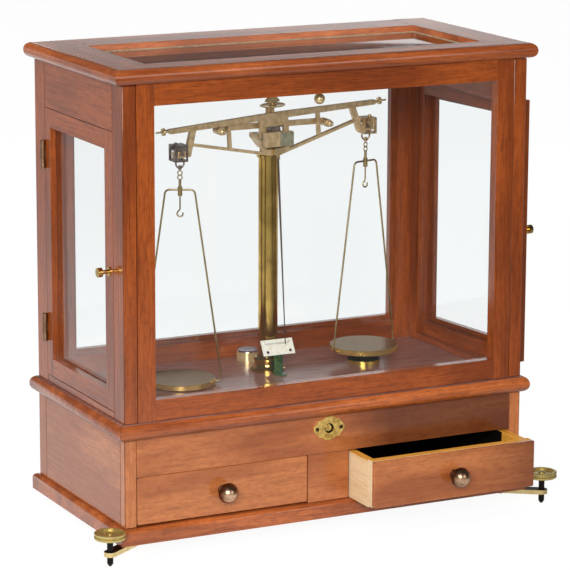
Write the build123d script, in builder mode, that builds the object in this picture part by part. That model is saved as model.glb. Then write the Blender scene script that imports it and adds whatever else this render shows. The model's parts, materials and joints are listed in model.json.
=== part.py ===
from build123d import *
from math import atan, cos, degrees, hypot, radians, sin, tan
import os

# Equal-arm knife-edge balance in a glazed mahogany case.
# +X is to the right, +Y to the back, +Z up. z = 0 is the table that the feet stand on.
# The sizes below are measured from the middle of the case. The case stands CASE_Y behind the origin,
# because the origin lies under the middle of the whole outline, open drawer included.

# ---- driving sizes, in millimetres ----
CASE_W, CASE_D = 440.0, 215.0
SLIP = 0.3                      # clearance of wood that slides or swings in wood
FOOT_H = 14.5                   # underside of the base board above the table
BOARD_T, BOARD_LIP = 16.0, 6.0
BASE_H = 87.0                   # drawer case
SLAB_T, SLAB_LIP = 16.3, 7.5    # floor of the glass case
CASE_H = 325.6                  # posts of the glass case
CORNICE_T, CORNICE_SIDE, CORNICE_END = 15.3, 9.0, 6.5

CORNER_W, CORNER_FRONT, CORNER_REAR = 12.6, 10.0, 18.5
BASE_BACK_T = 10.0
RAIL_Z, RAIL_T = 49.6, 12.0     # underside and thickness of the front rail over the drawers
DIVIDER_W, DIVIDER_T, GUIDE_T = 46.0, 12.0, 8.0

DRAWER_GAP, DRAWER_UNDER, DRAWER_BEHIND = 0.5, 1.7, 20.0    # gaps beside and over, under, and behind
DRAWER_FACE_T, DRAWER_FRONT_T, DRAWER_SIDE_T, DRAWER_BOTTOM_T = 4.0, 9.0, 8.5, 4.0
DRAWER_SIDE_DROP, DRAWER_BOTTOM_UP = 1.5, 5.0
DRAWER_OPEN = 51.5              # how far the right-hand drawer stands open
KNOB_R, KNOB_OUT, KNOB_NECK_R, KNOB_NECK_OUT, ROSE_R = 10.0, 20.5, 3.6, 6.0, 6.0

POST_FACE, POST_SIDE = 14.5, 23.0       # front posts: width in front, depth at the side
STOP_OUT, STOP_BACK = 8.5, 7.2          # bead behind the sash
REAR_POST_X, REAR_POST_Y = 18.0, 25.3
GROOVE_T, GROOVE_DEEP, GROOVE_IN = 6.0, 5.0, 6.5
SASH_T, SASH_STILE, SASH_BOTTOM, SASH_TOP = 20.0, 18.7, 20.4, 20.5
GLASS_T, REBATE, REBATE_DEEP = 2.5, 5.0, 10.0
DOOR_T, DOOR_FRONT_STILE, DOOR_REAR_STILE, DOOR_TOP, DOOR_BOTTOM = 16.0, 18.9, 13.0, 18.5, 17.5
DOOR_FACE_DEEP = 6.0            # outer face of the door to its glass
SILL_H, FRIEZE_H = 7.5, 46.2
RIGHT_AJAR = 6.5                # degrees that the right-hand door stands open
HINGE_H, HINGE_LOW, HINGE_HIGH = 28.0, 48.9, 47.1    # butt hinges, in from the door's lower and upper end
BARREL_R, HINGE_PIN_R, LEAF_T, LEAF_W, PIN_OUT = 2.4, 1.2, 1.0, 9.0, 2.7
BACK_T, BACK_STILE, BACK_BOTTOM, BACK_TOP = 14.0, 21.0, 24.7, 25.0
ROOF_STILE, ROOF_FRONT, ROOF_BACK = 37.0, 9.5, 49.5      # wood round the top glass
TOP_GLASS_DOWN, TOP_GLASS_T = 7.0, 3.0
CATCH_R, CATCH_DOWN, CATCH_STEM_R, CATCH_BEHIND = 5.4, 29.5, 2.0, 4.1

SCREW_BESIDE, SCREW_BEFORE, SCREW_R = 21.0, 12.0, 3.0    # levelling screws, clear of the case's front corners
WHEEL_R, WHEEL_T, WHEEL_Z = 15.25, 6.6, 27.2
ARM_T, ARM_W, ARM_IN, ARM_BACK = 4.5, 12.0, 48.0, 33.0
REAR_FOOT_R, REAR_FOOT_IN = 12.0, 17.5

RUN = 0.08                      # radial clearance of shafts
COLUMN_R, COLUMN_H, COLUMN_BEHIND = 10.0, 230.7, 13.0    # the column stands behind the beam
FLANGE_R, FLANGE_T = 18.0, 2.5
BLOCK_W, BLOCK_H, BLOCK_HALF, BLOCK_SLOPE, SEAT_H = 34.0, 15.5, 9.5, 9.0, 11.5
CAP_SHORT, CAP_T, CAP_H, CAP_BEFORE, CAP_UP = 3.0, 6.0, 14.5, 9.0, 5.5    # front cheek of the bearing block
TONGUE_W, TONGUE_OUT, TONGUE_H, AGATE_T = 10.0, 6.5, 7.5, 2.4
ARBOR_R, ARBOR_DOWN, CAM_R, CAM_THROW = 3.5, 12.4, 6.9, 3.0
LIFTER_R = 3.0

BEAM_Y, BEAM_T, TILT = 14.5, 5.0, 3.6       # the left-hand end hangs TILT degrees low
ARM = 104.5                     # central to end knife edge
KNIFE_AIR = 0.1                 # knife edges stand this far off their planes
END_ROD_W, END_NUT_U = 20.2, 121.0
REST_X, BAR_BEHIND = 60.0, 7.5  # rests of the arrest bar; the bar behind the beam
TIP_UP, POINTER_BEFORE, POINTER_SET = 29.7, 6.2, -0.9
PLATE_W, PLATE_H, PLATE_T, PLATE_LEAN = 35.5, 16.7, 1.2, 31.0
PLATE_X, PLATE_BEFORE, PLATE_UP = 2.0, 4.4, 20.8

BOW_TOP, BOW_HALF, BOW_STAND, BOW_WIRE = 40.0, 14.5, 6.1, 0.95
PAN_R, PAN_RIM, PAN_UP = 35.5, 5.5, 0.95    # PAN_UP is the gap under the lower pan
LEFT_YAW, RIGHT_YAW = -27.0, 13.0
STOP_DISC_R, STOP_DISC_H = 17.0, 4.0

# ---- levels and planes that follow from them ----
BASE_Z = FOOT_H + BOARD_T
SLAB_Z = BASE_Z + BASE_H
FLOOR_Z = SLAB_Z + SLAB_T
TOP_Z = FLOOR_Z + CASE_H
ROOF_Z = TOP_Z + CORNICE_T
HALF_W, HALF_D = CASE_W / 2, CASE_D / 2
CASE_Y = (DRAWER_OPEN + KNOB_OUT - SLAB_LIP) / 2
SASH_BACK = -HALF_D + SASH_T
POST_BACK = -HALF_D + POST_SIDE
REAR_POST_FRONT = HALF_D - REAR_POST_Y
SASH_HALF = HALF_W - POST_FACE
DRAWER_H = RAIL_Z - DRAWER_GAP - DRAWER_UNDER
DRAWER_LEN = CASE_D - BASE_BACK_T - DRAWER_BEHIND
SCREW_X, SCREW_Y = HALF_W + SCREW_BESIDE, -HALF_D - SCREW_BEFORE
REAR_FOOT_Y = HALF_D - REAR_FOOT_IN
COLUMN_Y = BEAM_Y + COLUMN_BEHIND
COLUMN_TOP = FLOOR_Z + COLUMN_H
AGATE_Z = COLUMN_TOP + SEAT_H
AGATE_TOP = AGATE_Z + AGATE_T
PIVOT_Z = AGATE_TOP + KNIFE_AIR
POINTER_Y = BEAM_Y - POINTER_BEFORE
PLATE_Y = POINTER_Y - PLATE_BEFORE
PAN_DROP = PIVOT_Z - ARM * sin(radians(TILT)) - FLOOR_Z - PAN_UP - PAN_RIM

os.makedirs("parts", exist_ok=True)


def level(z):
    """Horizontal sketch plane: local x, y are the case's own."""
    return Plane((0, CASE_Y, z))


def facing(y):
    """Upright sketch plane facing the front: local x is x, local y is height."""
    return Plane((0, CASE_Y + y, 0), x_dir=(1, 0, 0), z_dir=(0, -1, 0))


def crosswise(x):
    """Upright sketch plane facing right: local x runs to the back, local y is height."""
    return Plane((x, CASE_Y, 0), x_dir=(0, 1, 0), z_dir=(1, 0, 0))


def upright_axis(x, y):
    return Axis((x, CASE_Y + y, 0), (0, 0, 1))


def slab(x0, x1, y0, y1, z0, z1, mode=Mode.ADD):
    """A board or a rectangular cut between two corners."""
    with Locations(((x0 + x1) / 2, CASE_Y + (y0 + y1) / 2, (z0 + z1) / 2)):
        Box(x1 - x0, y1 - y0, z1 - z0, mode=mode)


def save(piece, name):
    piece.part.label = name
    export_step(piece.part, f"parts/{name}.step")


# ---- base: moulded board, drawer case ----
ARM_HOLES = [(side * (SCREW_X - ARM_IN * t), SCREW_Y + ARM_BACK * t)
             for side in (-1, 1) for t in (0.72, 0.97)]
ARM_SCREW_R, ARM_HEAD_R, ARM_HEAD_T, ARM_SCREW_DEEP = 1.5, 3.0, 1.4, 8.0

with BuildPart() as base_board:
    with BuildSketch(level(FOOT_H)):
        Rectangle(CASE_W + 2 * BOARD_LIP, CASE_D + 2 * BOARD_LIP)
    extrude(amount=BOARD_T)
    fillet(base_board.faces().sort_by(Axis.Z)[-1].edges(), radius=BOARD_LIP * 0.75)
    with BuildSketch(level(FOOT_H)):
        with Locations(*ARM_HOLES):
            Circle(ARM_SCREW_R + RUN)
    extrude(amount=ARM_SCREW_DEEP, mode=Mode.SUBTRACT)
save(base_board, "base_board")

with BuildPart() as base_posts:
    for side in (-1, 1):
        x0, x1 = sorted((side * HALF_W, side * (HALF_W - CORNER_W)))
        slab(x0, x1, -HALF_D, -HALF_D + CORNER_FRONT, BASE_Z, SLAB_Z)
        slab(x0, x1, HALF_D - CORNER_REAR, HALF_D, BASE_Z, SLAB_Z)
save(base_posts, "base_posts")

with BuildPart() as base_sides:
    for side in (-1, 1):
        x0, x1 = sorted((side * HALF_W, side * (HALF_W - CORNER_W)))
        slab(x0, x1, -HALF_D + CORNER_FRONT, HALF_D - CORNER_REAR, BASE_Z, SLAB_Z)
save(base_sides, "base_sides")

with BuildPart() as base_back:
    slab(CORNER_W - HALF_W, HALF_W - CORNER_W, HALF_D - BASE_BACK_T, HALF_D, BASE_Z, SLAB_Z)
save(base_back, "base_back")

ESCUTCHEON_R, EAR_R, EAR_X, ESCUTCHEON_T, KEYHOLE_R = 12.0, 4.1, 13.2, 1.6, 5.0
SHOULDER_X, SHOULDER_Z, SHOULDER_R = 9.8, 7.0, 2.0
PLATE_SCREW_R, PLATE_SCREW_DEEP = 1.9, 5.0
ARBOR_Z = SLAB_Z - ARBOR_DOWN

with BuildPart() as base_front_rail:
    slab(CORNER_W - HALF_W, HALF_W - CORNER_W, -HALF_D, -HALF_D + RAIL_T, BASE_Z + RAIL_Z, SLAB_Z)
    with BuildSketch(facing(-HALF_D)):
        with Locations((0, ARBOR_Z)):
            Circle(KEYHOLE_R)
    extrude(amount=-RAIL_T, mode=Mode.SUBTRACT)
    with BuildSketch(facing(-HALF_D)):
        with Locations((-EAR_X, ARBOR_Z), (EAR_X, ARBOR_Z)):
            Circle(PLATE_SCREW_R + RUN)
    extrude(amount=-PLATE_SCREW_DEEP, mode=Mode.SUBTRACT)
save(base_front_rail, "base_front_rail")

with BuildPart() as drawer_divider:
    slab(-DIVIDER_W / 2, DIVIDER_W / 2, -HALF_D, -HALF_D + DIVIDER_T, BASE_Z, BASE_Z + RAIL_Z)
    for side in (-1, 1):
        x0, x1 = sorted((side * DIVIDER_W / 2, side * (DIVIDER_W / 2 - GUIDE_T)))
        slab(x0, x1, -HALF_D + DIVIDER_T, HALF_D - BASE_BACK_T, BASE_Z, BASE_Z + RAIL_Z)
save(drawer_divider, "drawer_divider")


# ---- drawers ----
def drawer(side, pulled):
    """The facing, the box and the knob of one drawer. side is -1 for left; pulled is how far it is out."""
    x0, x1 = sorted((side * (HALF_W - CORNER_W - DRAWER_GAP), side * (DIVIDER_W / 2 + DRAWER_GAP)))
    front = -HALF_D - pulled
    z0 = BASE_Z + RAIL_Z - DRAWER_GAP - DRAWER_H
    inner0, inner1 = x0 + DRAWER_SIDE_T + DRAWER_GAP, x1 - DRAWER_SIDE_T - DRAWER_GAP
    behind = front + DRAWER_FACE_T
    side_top = z0 + DRAWER_H - DRAWER_SIDE_DROP
    runner_z = BASE_Z + RUN
    floor_z = z0 + DRAWER_BOTTOM_UP
    with BuildPart() as face:
        slab(x0, x1, front, behind, z0, z0 + DRAWER_H)
        fillet(face.faces().sort_by(Axis.Y)[0].edges(), radius=0.8)
    with BuildPart() as box:
        slab(x0 + DRAWER_GAP, x1 - DRAWER_GAP, behind, front + DRAWER_LEN, runner_z, side_top)
        slab(inner0, inner1, behind + DRAWER_FRONT_T, front + DRAWER_LEN - DRAWER_SIDE_T,
             floor_z + DRAWER_BOTTOM_T, side_top, mode=Mode.SUBTRACT)
        slab(inner0, inner1, behind + DRAWER_FRONT_T, front + DRAWER_LEN - DRAWER_SIDE_T,
             runner_z, floor_z, mode=Mode.SUBTRACT)
        slab(x0 + DRAWER_GAP, x1 - DRAWER_GAP, behind, behind + DRAWER_FRONT_T, runner_z, z0,
             mode=Mode.SUBTRACT)
        slab(x0 + DRAWER_GAP, x1 - DRAWER_GAP, behind, behind + DRAWER_FRONT_T, side_top, z0 + DRAWER_H)
    knob_z = z0 + DRAWER_H / 2
    knob_x = (x0 + x1) / 2
    out = -front
    with BuildPart() as knob:
        with BuildSketch(crosswise(knob_x)):
            with BuildLine():
                rose = Polyline((-out, knob_z), (-out, knob_z + ROSE_R), (-out - 1.8, knob_z + ROSE_R),
                                (-out - 2.4, knob_z + ROSE_R - 2),
                                (-out - KNOB_NECK_OUT, knob_z + KNOB_NECK_R))
                round_y = -out - KNOB_OUT + KNOB_R
                flare = ThreePointArc(rose @ 1, (round_y + 2.9, knob_z + 0.78 * KNOB_R),
                                      (round_y, knob_z + KNOB_R))
                bulb = CenterArc((round_y, knob_z), KNOB_R, 90, 90)
                Line(bulb @ 1, (-out, knob_z))
            make_face()
        revolve(axis=Axis((knob_x, CASE_Y - out, knob_z), (0, 1, 0)))
    return face, box, knob


for side, prefix, pulled in ((-1, "left", 0.0), (1, "right", DRAWER_OPEN)):
    drawer_face, drawer_box, drawer_knob = drawer(side, pulled)
    save(drawer_face, f"{prefix}_drawer_face")
    save(drawer_box, f"{prefix}_drawer_box")
    save(drawer_knob, f"{prefix}_drawer_knob")

# ---- floor of the glass case ----
SPIGOT_R = 8.0

with BuildPart() as case_floor:
    with BuildSketch(level(SLAB_Z)):
        Rectangle(CASE_W + 2 * SLAB_LIP, CASE_D + 2 * SLAB_LIP)
    extrude(amount=SLAB_T)
    fillet(case_floor.faces().filter_by(Axis.Z).edges(), radius=SLAB_LIP)
    with BuildSketch(level(SLAB_Z)):
        with Locations((0, COLUMN_Y)):
            Circle(SPIGOT_R + RUN)
    extrude(amount=SLAB_T, mode=Mode.SUBTRACT)
save(case_floor, "case_floor")

# ---- posts, sills and friezes ----
DOOR_LOW, DOOR_HIGH = FLOOR_Z + SILL_H, TOP_Z - FRIEZE_H
HINGE_ZS = [DOOR_LOW + HINGE_LOW, DOOR_HIGH - HINGE_HIGH]


def front_post_outline(side):
    """Corners of a front post: face, groove for the sash tongue, bead behind the sash."""
    inner = HALF_W - POST_FACE
    tongue_y = SASH_BACK - GROOVE_IN - GROOVE_T
    bead_front, bead_back = SASH_BACK + SLIP, SASH_BACK + SLIP + STOP_BACK
    bead_x = inner - STOP_OUT
    door_x = HALF_W - DOOR_T - SLIP
    return [(side * x, y) for x, y in (
        (HALF_W, -HALF_D), (inner, -HALF_D), (inner, tongue_y), (inner + GROOVE_DEEP, tongue_y),
        (inner + GROOVE_DEEP, tongue_y + GROOVE_T), (inner, tongue_y + GROOVE_T), (inner, bead_front),
        (bead_x, bead_front), (bead_x, bead_back), (door_x, bead_back), (door_x, POST_BACK),
        (HALF_W, POST_BACK))]


with BuildPart() as front_posts:
    for side in (-1, 1):
        with BuildSketch(level(FLOOR_Z)):
            with BuildLine():
                Polyline(*front_post_outline(side), close=True)
            make_face()
        extrude(amount=CASE_H)
save(front_posts, "front_posts")

with BuildPart() as rear_posts:
    for side in (-1, 1):
        x0, x1 = sorted((side * HALF_W, side * (HALF_W - REAR_POST_X)))
        slab(x0, x1, REAR_POST_FRONT, HALF_D, FLOOR_Z, TOP_Z)
        for z in HINGE_ZS:
            g0, g1 = sorted((side * HALF_W, side * (HALF_W - LEAF_W)))
            slab(g0, g1, REAR_POST_FRONT, REAR_POST_FRONT + LEAF_T, z - HINGE_H / 2, z + HINGE_H / 2,
                 mode=Mode.SUBTRACT)
save(rear_posts, "rear_posts")

with BuildPart() as side_sills:
    for side in (-1, 1):
        x0, x1 = sorted((side * HALF_W, side * (HALF_W - DOOR_T)))
        slab(x0, x1, POST_BACK, REAR_POST_FRONT, FLOOR_Z, DOOR_LOW)
save(side_sills, "side_sills")

with BuildPart() as side_friezes:
    for side in (-1, 1):
        x0, x1 = sorted((side * HALF_W, side * (HALF_W - DOOR_T)))
        slab(x0, x1, POST_BACK, REAR_POST_FRONT, DOOR_HIGH, TOP_Z)
save(side_friezes, "side_friezes")

# ---- glazed back ----
BACK_HALF = HALF_W - REAR_POST_X
BACK_LEDGE = HALF_D - 7.0

with BuildPart() as back_frame:
    slab(-BACK_HALF, BACK_HALF, HALF_D - BACK_T, HALF_D, FLOOR_Z, TOP_Z)
    ox, oz0, oz1 = BACK_HALF - BACK_STILE, FLOOR_Z + BACK_BOTTOM, TOP_Z - BACK_TOP
    slab(-ox, ox, HALF_D - BACK_T, HALF_D, oz0, oz1, mode=Mode.SUBTRACT)
    slab(-ox - REBATE, ox + REBATE, HALF_D - BACK_T, BACK_LEDGE, oz0 - REBATE, oz1 + REBATE,
         mode=Mode.SUBTRACT)
save(back_frame, "back_frame")

with BuildPart() as back_glass:
    slab(-ox - REBATE, ox + REBATE, BACK_LEDGE - GLASS_T, BACK_LEDGE, oz0 - REBATE, oz1 + REBATE)
save(back_glass, "back_glass")

# ---- cornice: fixed frame with the top glass ----
CORNICE_ROUND = CORNICE_T * 0.46
STRIP_FRONT = SASH_BACK + SLIP
ROOF_REBATE, ROOF_REBATE_FRONT = 6.0, 3.0
TOP_X, TOP_FRONT, TOP_BACK = HALF_W - ROOF_STILE, SASH_BACK + ROOF_FRONT, HALF_D - ROOF_BACK
GLASS_TOP_Z = ROOF_Z - TOP_GLASS_DOWN

with BuildPart() as cornice:
    slab(-HALF_W - CORNICE_SIDE, HALF_W + CORNICE_SIDE, STRIP_FRONT, HALF_D + CORNICE_END, TOP_Z, ROOF_Z)
    outer = cornice.faces().filter_by(Plane.XZ).sort_by(Axis.Y)[-1:] + cornice.faces().filter_by(Plane.YZ)
    edges = [e for f in outer for e in f.edges().filter_by(Axis.Z, reverse=True) if e.length > CASE_D / 2]
    fillet(edges, radius=CORNICE_ROUND)
    slab(-TOP_X, TOP_X, TOP_FRONT, TOP_BACK, TOP_Z, ROOF_Z, mode=Mode.SUBTRACT)
    slab(-TOP_X - ROOF_REBATE, TOP_X + ROOF_REBATE, TOP_FRONT - ROOF_REBATE_FRONT, TOP_BACK + ROOF_REBATE,
         TOP_Z, GLASS_TOP_Z, mode=Mode.SUBTRACT)
save(cornice, "cornice")

with BuildPart() as top_glass:
    slab(-TOP_X - ROOF_REBATE, TOP_X + ROOF_REBATE, TOP_FRONT - ROOF_REBATE_FRONT, TOP_BACK + ROOF_REBATE,
         GLASS_TOP_Z - TOP_GLASS_T, GLASS_TOP_Z)
save(top_glass, "top_glass")

with BuildPart() as catch_ball:
    ball_y, ball_z = SASH_BACK + CATCH_BEHIND, TOP_Z - CATCH_DOWN
    with Locations((0, CASE_Y + ball_y, ball_z)):
        Sphere(CATCH_R)
    with BuildSketch(level(ball_z)):
        with Locations((0, ball_y)):
            Circle(CATCH_STEM_R)
    extrude(amount=CATCH_DOWN)
save(catch_ball, "catch_ball")

# ---- lifting front: sash, glass and its strip of cornice ----
SASH_X = SASH_HALF - SLIP
LIFT_Z = TOP_Z + SLIP           # the lifting cornice clears the posts

with BuildPart() as sash_frame:
    slab(-SASH_X, SASH_X, -HALF_D, SASH_BACK, FLOOR_Z + SLIP, LIFT_Z)
    tongue_back = SASH_BACK - GROOVE_IN - SLIP
    tongue_x = SASH_HALF + GROOVE_DEEP - SLIP
    slab(-tongue_x, tongue_x, tongue_back - GROOVE_T + 2 * SLIP, tongue_back, FLOOR_Z + SLIP, TOP_Z)
    sx, sz0, sz1 = SASH_HALF - SASH_STILE, FLOOR_Z + SLIP + SASH_BOTTOM, TOP_Z - SASH_TOP
    slab(-sx, sx, -HALF_D, SASH_BACK, sz0, sz1, mode=Mode.SUBTRACT)
    slab(-sx - REBATE, sx + REBATE, SASH_BACK - REBATE_DEEP, SASH_BACK, sz0 - REBATE, sz1 + REBATE,
         mode=Mode.SUBTRACT)
save(sash_frame, "sash_frame")

with BuildPart() as sash_glass:
    glass_y = SASH_BACK - REBATE_DEEP
    slab(-sx - REBATE, sx + REBATE, glass_y, glass_y + GLASS_T, sz0 - REBATE, sz1 + REBATE)
save(sash_glass, "sash_glass")

with BuildPart() as sash_cornice:
    slab(-HALF_W - CORNICE_SIDE, HALF_W + CORNICE_SIDE, -HALF_D - CORNICE_END, SASH_BACK, LIFT_Z, ROOF_Z)
    ends = sash_cornice.faces().filter_by(Plane.YZ)
    front = sash_cornice.faces().filter_by(Plane.XZ).sort_by(Axis.Y)[:1]
    edges = [e for f in front + ends for e in f.edges().filter_by(Axis.Z, reverse=True)]
    fillet(edges, radius=CORNICE_ROUND)
save(sash_cornice, "sash_cornice")

# ---- side doors on butt hinges ----
DOOR_W = REAR_POST_FRONT - POST_BACK
PIN_GAP = 0.15                  # hinge pin to the door edge and to the post
DOOR_Z0, DOOR_Z1 = DOOR_LOW + SLIP, DOOR_HIGH - SLIP
LEAF_GAP = 0.25
KNUCKLE_H = HINGE_H / 3


def door_plane(side, ajar, out=0.0):
    """Plane of a door: local x runs from the hinge pin to the front edge, local y is height."""
    a = radians(ajar)
    along = Vector(side * sin(a), -cos(a), 0)
    outward = Vector(side * cos(a), sin(a), 0)
    pin = Vector(side * (HALF_W + PIN_OUT), CASE_Y + REAR_POST_FRONT - PIN_GAP, 0)
    face = pin + outward * (out - PIN_OUT)
    return Plane(tuple(face), x_dir=tuple(along), z_dir=tuple(along.cross(Vector(0, 0, 1))))


def panel(u0, u1, z0, z1):
    with Locations(((u0 + u1) / 2, (z0 + z1) / 2)):
        Rectangle(u1 - u0, z1 - z0)


def door(side, ajar):
    """Frame, glass, and brass hinge leaves with the knob of one door."""
    inward = side               # an extrusion by side * depth goes into the case
    u0, u1 = PIN_GAP, DOOR_W - 2 * PIN_GAP
    gu0, gu1 = u0 + DOOR_REAR_STILE, u1 - DOOR_FRONT_STILE
    gz0, gz1 = DOOR_Z0 + DOOR_BOTTOM, DOOR_Z1 - DOOR_TOP
    with BuildPart() as frame:
        with BuildSketch(door_plane(side, ajar)):
            panel(u0, u1, DOOR_Z0, DOOR_Z1)
            with Locations(((gu0 + gu1) / 2, (gz0 + gz1) / 2)):
                Rectangle(gu1 - gu0, gz1 - gz0, mode=Mode.SUBTRACT)
        extrude(amount=inward * DOOR_T)
        with BuildSketch(door_plane(side, ajar, -DOOR_FACE_DEEP)):
            panel(gu0 - REBATE, gu1 + REBATE, gz0 - REBATE, gz1 + REBATE)
        extrude(amount=inward * (DOOR_T - DOOR_FACE_DEEP), mode=Mode.SUBTRACT)
        with BuildSketch(door_plane(side, ajar)):
            for z in HINGE_ZS:
                panel(u0, u0 + LEAF_T, z - HINGE_H / 2, z + HINGE_H / 2)
        extrude(amount=inward * LEAF_W, mode=Mode.SUBTRACT)
    with BuildPart() as glass:
        with BuildSketch(door_plane(side, ajar, -DOOR_FACE_DEEP)):
            panel(gu0 - REBATE, gu1 + REBATE, gz0 - REBATE, gz1 + REBATE)
        extrude(amount=inward * GLASS_T)
    knob_u, knob_z = u1 - DOOR_FRONT_STILE / 2, (DOOR_Z0 + DOOR_Z1) / 2
    with BuildPart() as brass:
        with BuildSketch(door_plane(side, ajar)):
            for z in HINGE_ZS:
                panel(u0, u0 + LEAF_T, z - HINGE_H / 2, z + HINGE_H / 2)
        extrude(amount=inward * LEAF_W)
        with BuildSketch(door_plane(side, ajar)):
            for z in HINGE_ZS:
                panel(u0, u0 + LEAF_T, z - KNUCKLE_H / 2 + LEAF_GAP, z + KNUCKLE_H / 2 - LEAF_GAP)
        extrude(amount=-inward * PIN_OUT)
        for z in HINGE_ZS:
            with BuildSketch(Plane((side * (HALF_W + PIN_OUT), CASE_Y + REAR_POST_FRONT - PIN_GAP,
                                    z - KNUCKLE_H / 2 + LEAF_GAP))):
                Circle(BARREL_R)
            extrude(amount=KNUCKLE_H - 2 * LEAF_GAP)
        for z in HINGE_ZS:
            with BuildSketch(Plane((side * (HALF_W + PIN_OUT), CASE_Y + REAR_POST_FRONT - PIN_GAP,
                                    z - KNUCKLE_H / 2))):
                Circle(HINGE_PIN_R + RUN)
            extrude(amount=KNUCKLE_H, mode=Mode.SUBTRACT)
        for height, radius in ((1.2, 4.6), (8.0, 2.0)):
            with BuildSketch(door_plane(side, ajar)):
                with Locations((knob_u, knob_z)):
                    Circle(radius)
            extrude(amount=-inward * height)
        with BuildSketch(door_plane(side, ajar, 8.0)):
            with Locations((knob_u, knob_z)):
                Circle(4.6)
        extrude(amount=-inward * 4.5)
    return frame, glass, brass


for side, prefix, ajar in ((-1, "left", 0.0), (1, "right", RIGHT_AJAR)):
    door_frame, door_glass, door_brass = door(side, ajar)
    save(door_frame, f"{prefix}_door_frame")
    save(door_glass, f"{prefix}_door_glass")
    save(door_brass, f"{prefix}_door_brass")

with BuildPart() as door_hinges:
    for side in (-1, 1):
        pin_x, pin_y = side * (HALF_W + PIN_OUT), REAR_POST_FRONT - PIN_GAP
        for z in HINGE_ZS:
            g0, g1 = sorted((side * HALF_W, side * (HALF_W - LEAF_W)))
            slab(g0, g1, REAR_POST_FRONT, REAR_POST_FRONT + LEAF_T, z - HINGE_H / 2, z + HINGE_H / 2)
            for part_z in (z - HINGE_H / 2, z + KNUCKLE_H / 2):
                t0, t1 = sorted((side * HALF_W, pin_x))
                slab(t0, t1, REAR_POST_FRONT, REAR_POST_FRONT + LEAF_T, part_z, part_z + KNUCKLE_H)
                with BuildSketch(level(part_z)):
                    with Locations((pin_x, pin_y)):
                        Circle(BARREL_R)
                extrude(amount=KNUCKLE_H)
            with BuildSketch(level(z - HINGE_H / 2)):
                with Locations((pin_x, pin_y)):
                    Circle(HINGE_PIN_R)
            extrude(amount=HINGE_H)
save(door_hinges, "door_hinges")

# ---- feet ----
with BuildPart() as levelling_arms:
    for side in (-1, 1):
        with BuildSketch(level(FOOT_H - ARM_T)):
            with Locations((side * (SCREW_X - ARM_IN / 2), SCREW_Y + ARM_BACK / 2)):
                SlotCenterToCenter(hypot(ARM_IN, ARM_BACK), ARM_W,
                                   rotation=-side * Vector(ARM_IN, ARM_BACK, 0).get_angle(Vector(1, 0, 0)))
            with Locations((side * SCREW_X, SCREW_Y)):
                Circle(SCREW_R + RUN, mode=Mode.SUBTRACT)
            with Locations(*[p for p in ARM_HOLES if p[0] * side > 0]):
                Circle(ARM_SCREW_R + RUN, mode=Mode.SUBTRACT)
        extrude(amount=ARM_T)
save(levelling_arms, "levelling_arms")


def levelling_screw(side):
    """Screw with a pointed tip under a dished wheel with two knurled rims."""
    x = side * SCREW_X
    rim, hub_r, dish_r = WHEEL_T / 3, 3.6, WHEEL_R - 3.2
    top = WHEEL_Z + WHEEL_T
    with BuildPart() as screw:
        with BuildSketch(facing(SCREW_Y)):
            with BuildLine():
                Polyline(*[(x + r, z) for r, z in (
                    (0, 0), (1.2, 0), (SCREW_R, 2.6), (SCREW_R, WHEEL_Z - 1.5), (hub_r + 1, WHEEL_Z - 1.5),
                    (hub_r + 1, WHEEL_Z), (WHEEL_R - 1, WHEEL_Z), (WHEEL_R, WHEEL_Z + 0.6),
                    (WHEEL_R, WHEEL_Z + rim), (WHEEL_R - 1.5, WHEEL_Z + rim + 0.8),
                    (WHEEL_R - 1.5, WHEEL_Z + 2 * rim - 0.8), (WHEEL_R, WHEEL_Z + 2 * rim),
                    (WHEEL_R, top - 0.6), (WHEEL_R - 1, top), (dish_r, top), (dish_r, top - 2.2),
                    (hub_r, top - 2.2), (hub_r, top - 0.4), (1.2, top), (0, top))], close=True)
            make_face()
        revolve(axis=upright_axis(x, SCREW_Y))
    return screw


for side, prefix in ((-1, "left"), (1, "right")):
    save(levelling_screw(side), f"{prefix}_levelling_screw")

with BuildPart() as rear_foot:
    with BuildSketch(facing(REAR_FOOT_Y)):
        with BuildLine():
            Polyline((0, 0), (REAR_FOOT_R - 2.5, 0), (REAR_FOOT_R, 3.0), (REAR_FOOT_R, 6.0),
                     (REAR_FOOT_R - 3.0, FOOT_H), (0, FOOT_H), close=True)
        make_face()
    revolve(axis=upright_axis(0, REAR_FOOT_Y))
save(rear_foot, "rear_foot")

# ---- arrest: escutcheon, arbor with its eccentric, lifting bar ----
with BuildPart() as escutcheon:
    with BuildSketch(facing(-HALF_D)):
        with Locations((-EAR_X, ARBOR_Z), (EAR_X, ARBOR_Z)):
            Circle(EAR_R)
        with Locations((0, ARBOR_Z)):
            with GridLocations(2 * SHOULDER_X, 2 * SHOULDER_Z, 2, 2):
                Circle(SHOULDER_R)
        make_hull()
        with Locations((0, ARBOR_Z)):
            Circle(ESCUTCHEON_R)
            Circle(KEYHOLE_R, mode=Mode.SUBTRACT)
        with Locations((-EAR_X, ARBOR_Z), (EAR_X, ARBOR_Z)):
            Circle(PLATE_SCREW_R + RUN, mode=Mode.SUBTRACT)
    extrude(amount=ESCUTCHEON_T)
save(escutcheon, "escutcheon")

YOKE_W, YOKE_HALF, YOKE_DROP, SLOT_HALF = 20.0, 10.0, 24.0, 4.0
CAM_T = 6.0
LIFTER_FOOT_Z = ARBOR_Z + CAM_R + SLIP
ARBOR_BACK = COLUMN_Y + YOKE_HALF + 1.0

with BuildPart() as arrest_arbor:
    with BuildSketch(facing(ARBOR_BACK)):
        with Locations((0, ARBOR_Z)):
            Circle(ARBOR_R)
    extrude(amount=ARBOR_BACK + HALF_D - 0.5)
    with BuildSketch(facing(COLUMN_Y + CAM_T / 2)):
        with Locations((CAM_THROW, ARBOR_Z)):
            Circle(CAM_R)
    extrude(amount=CAM_T)
save(arrest_arbor, "arrest_arbor")

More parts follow.
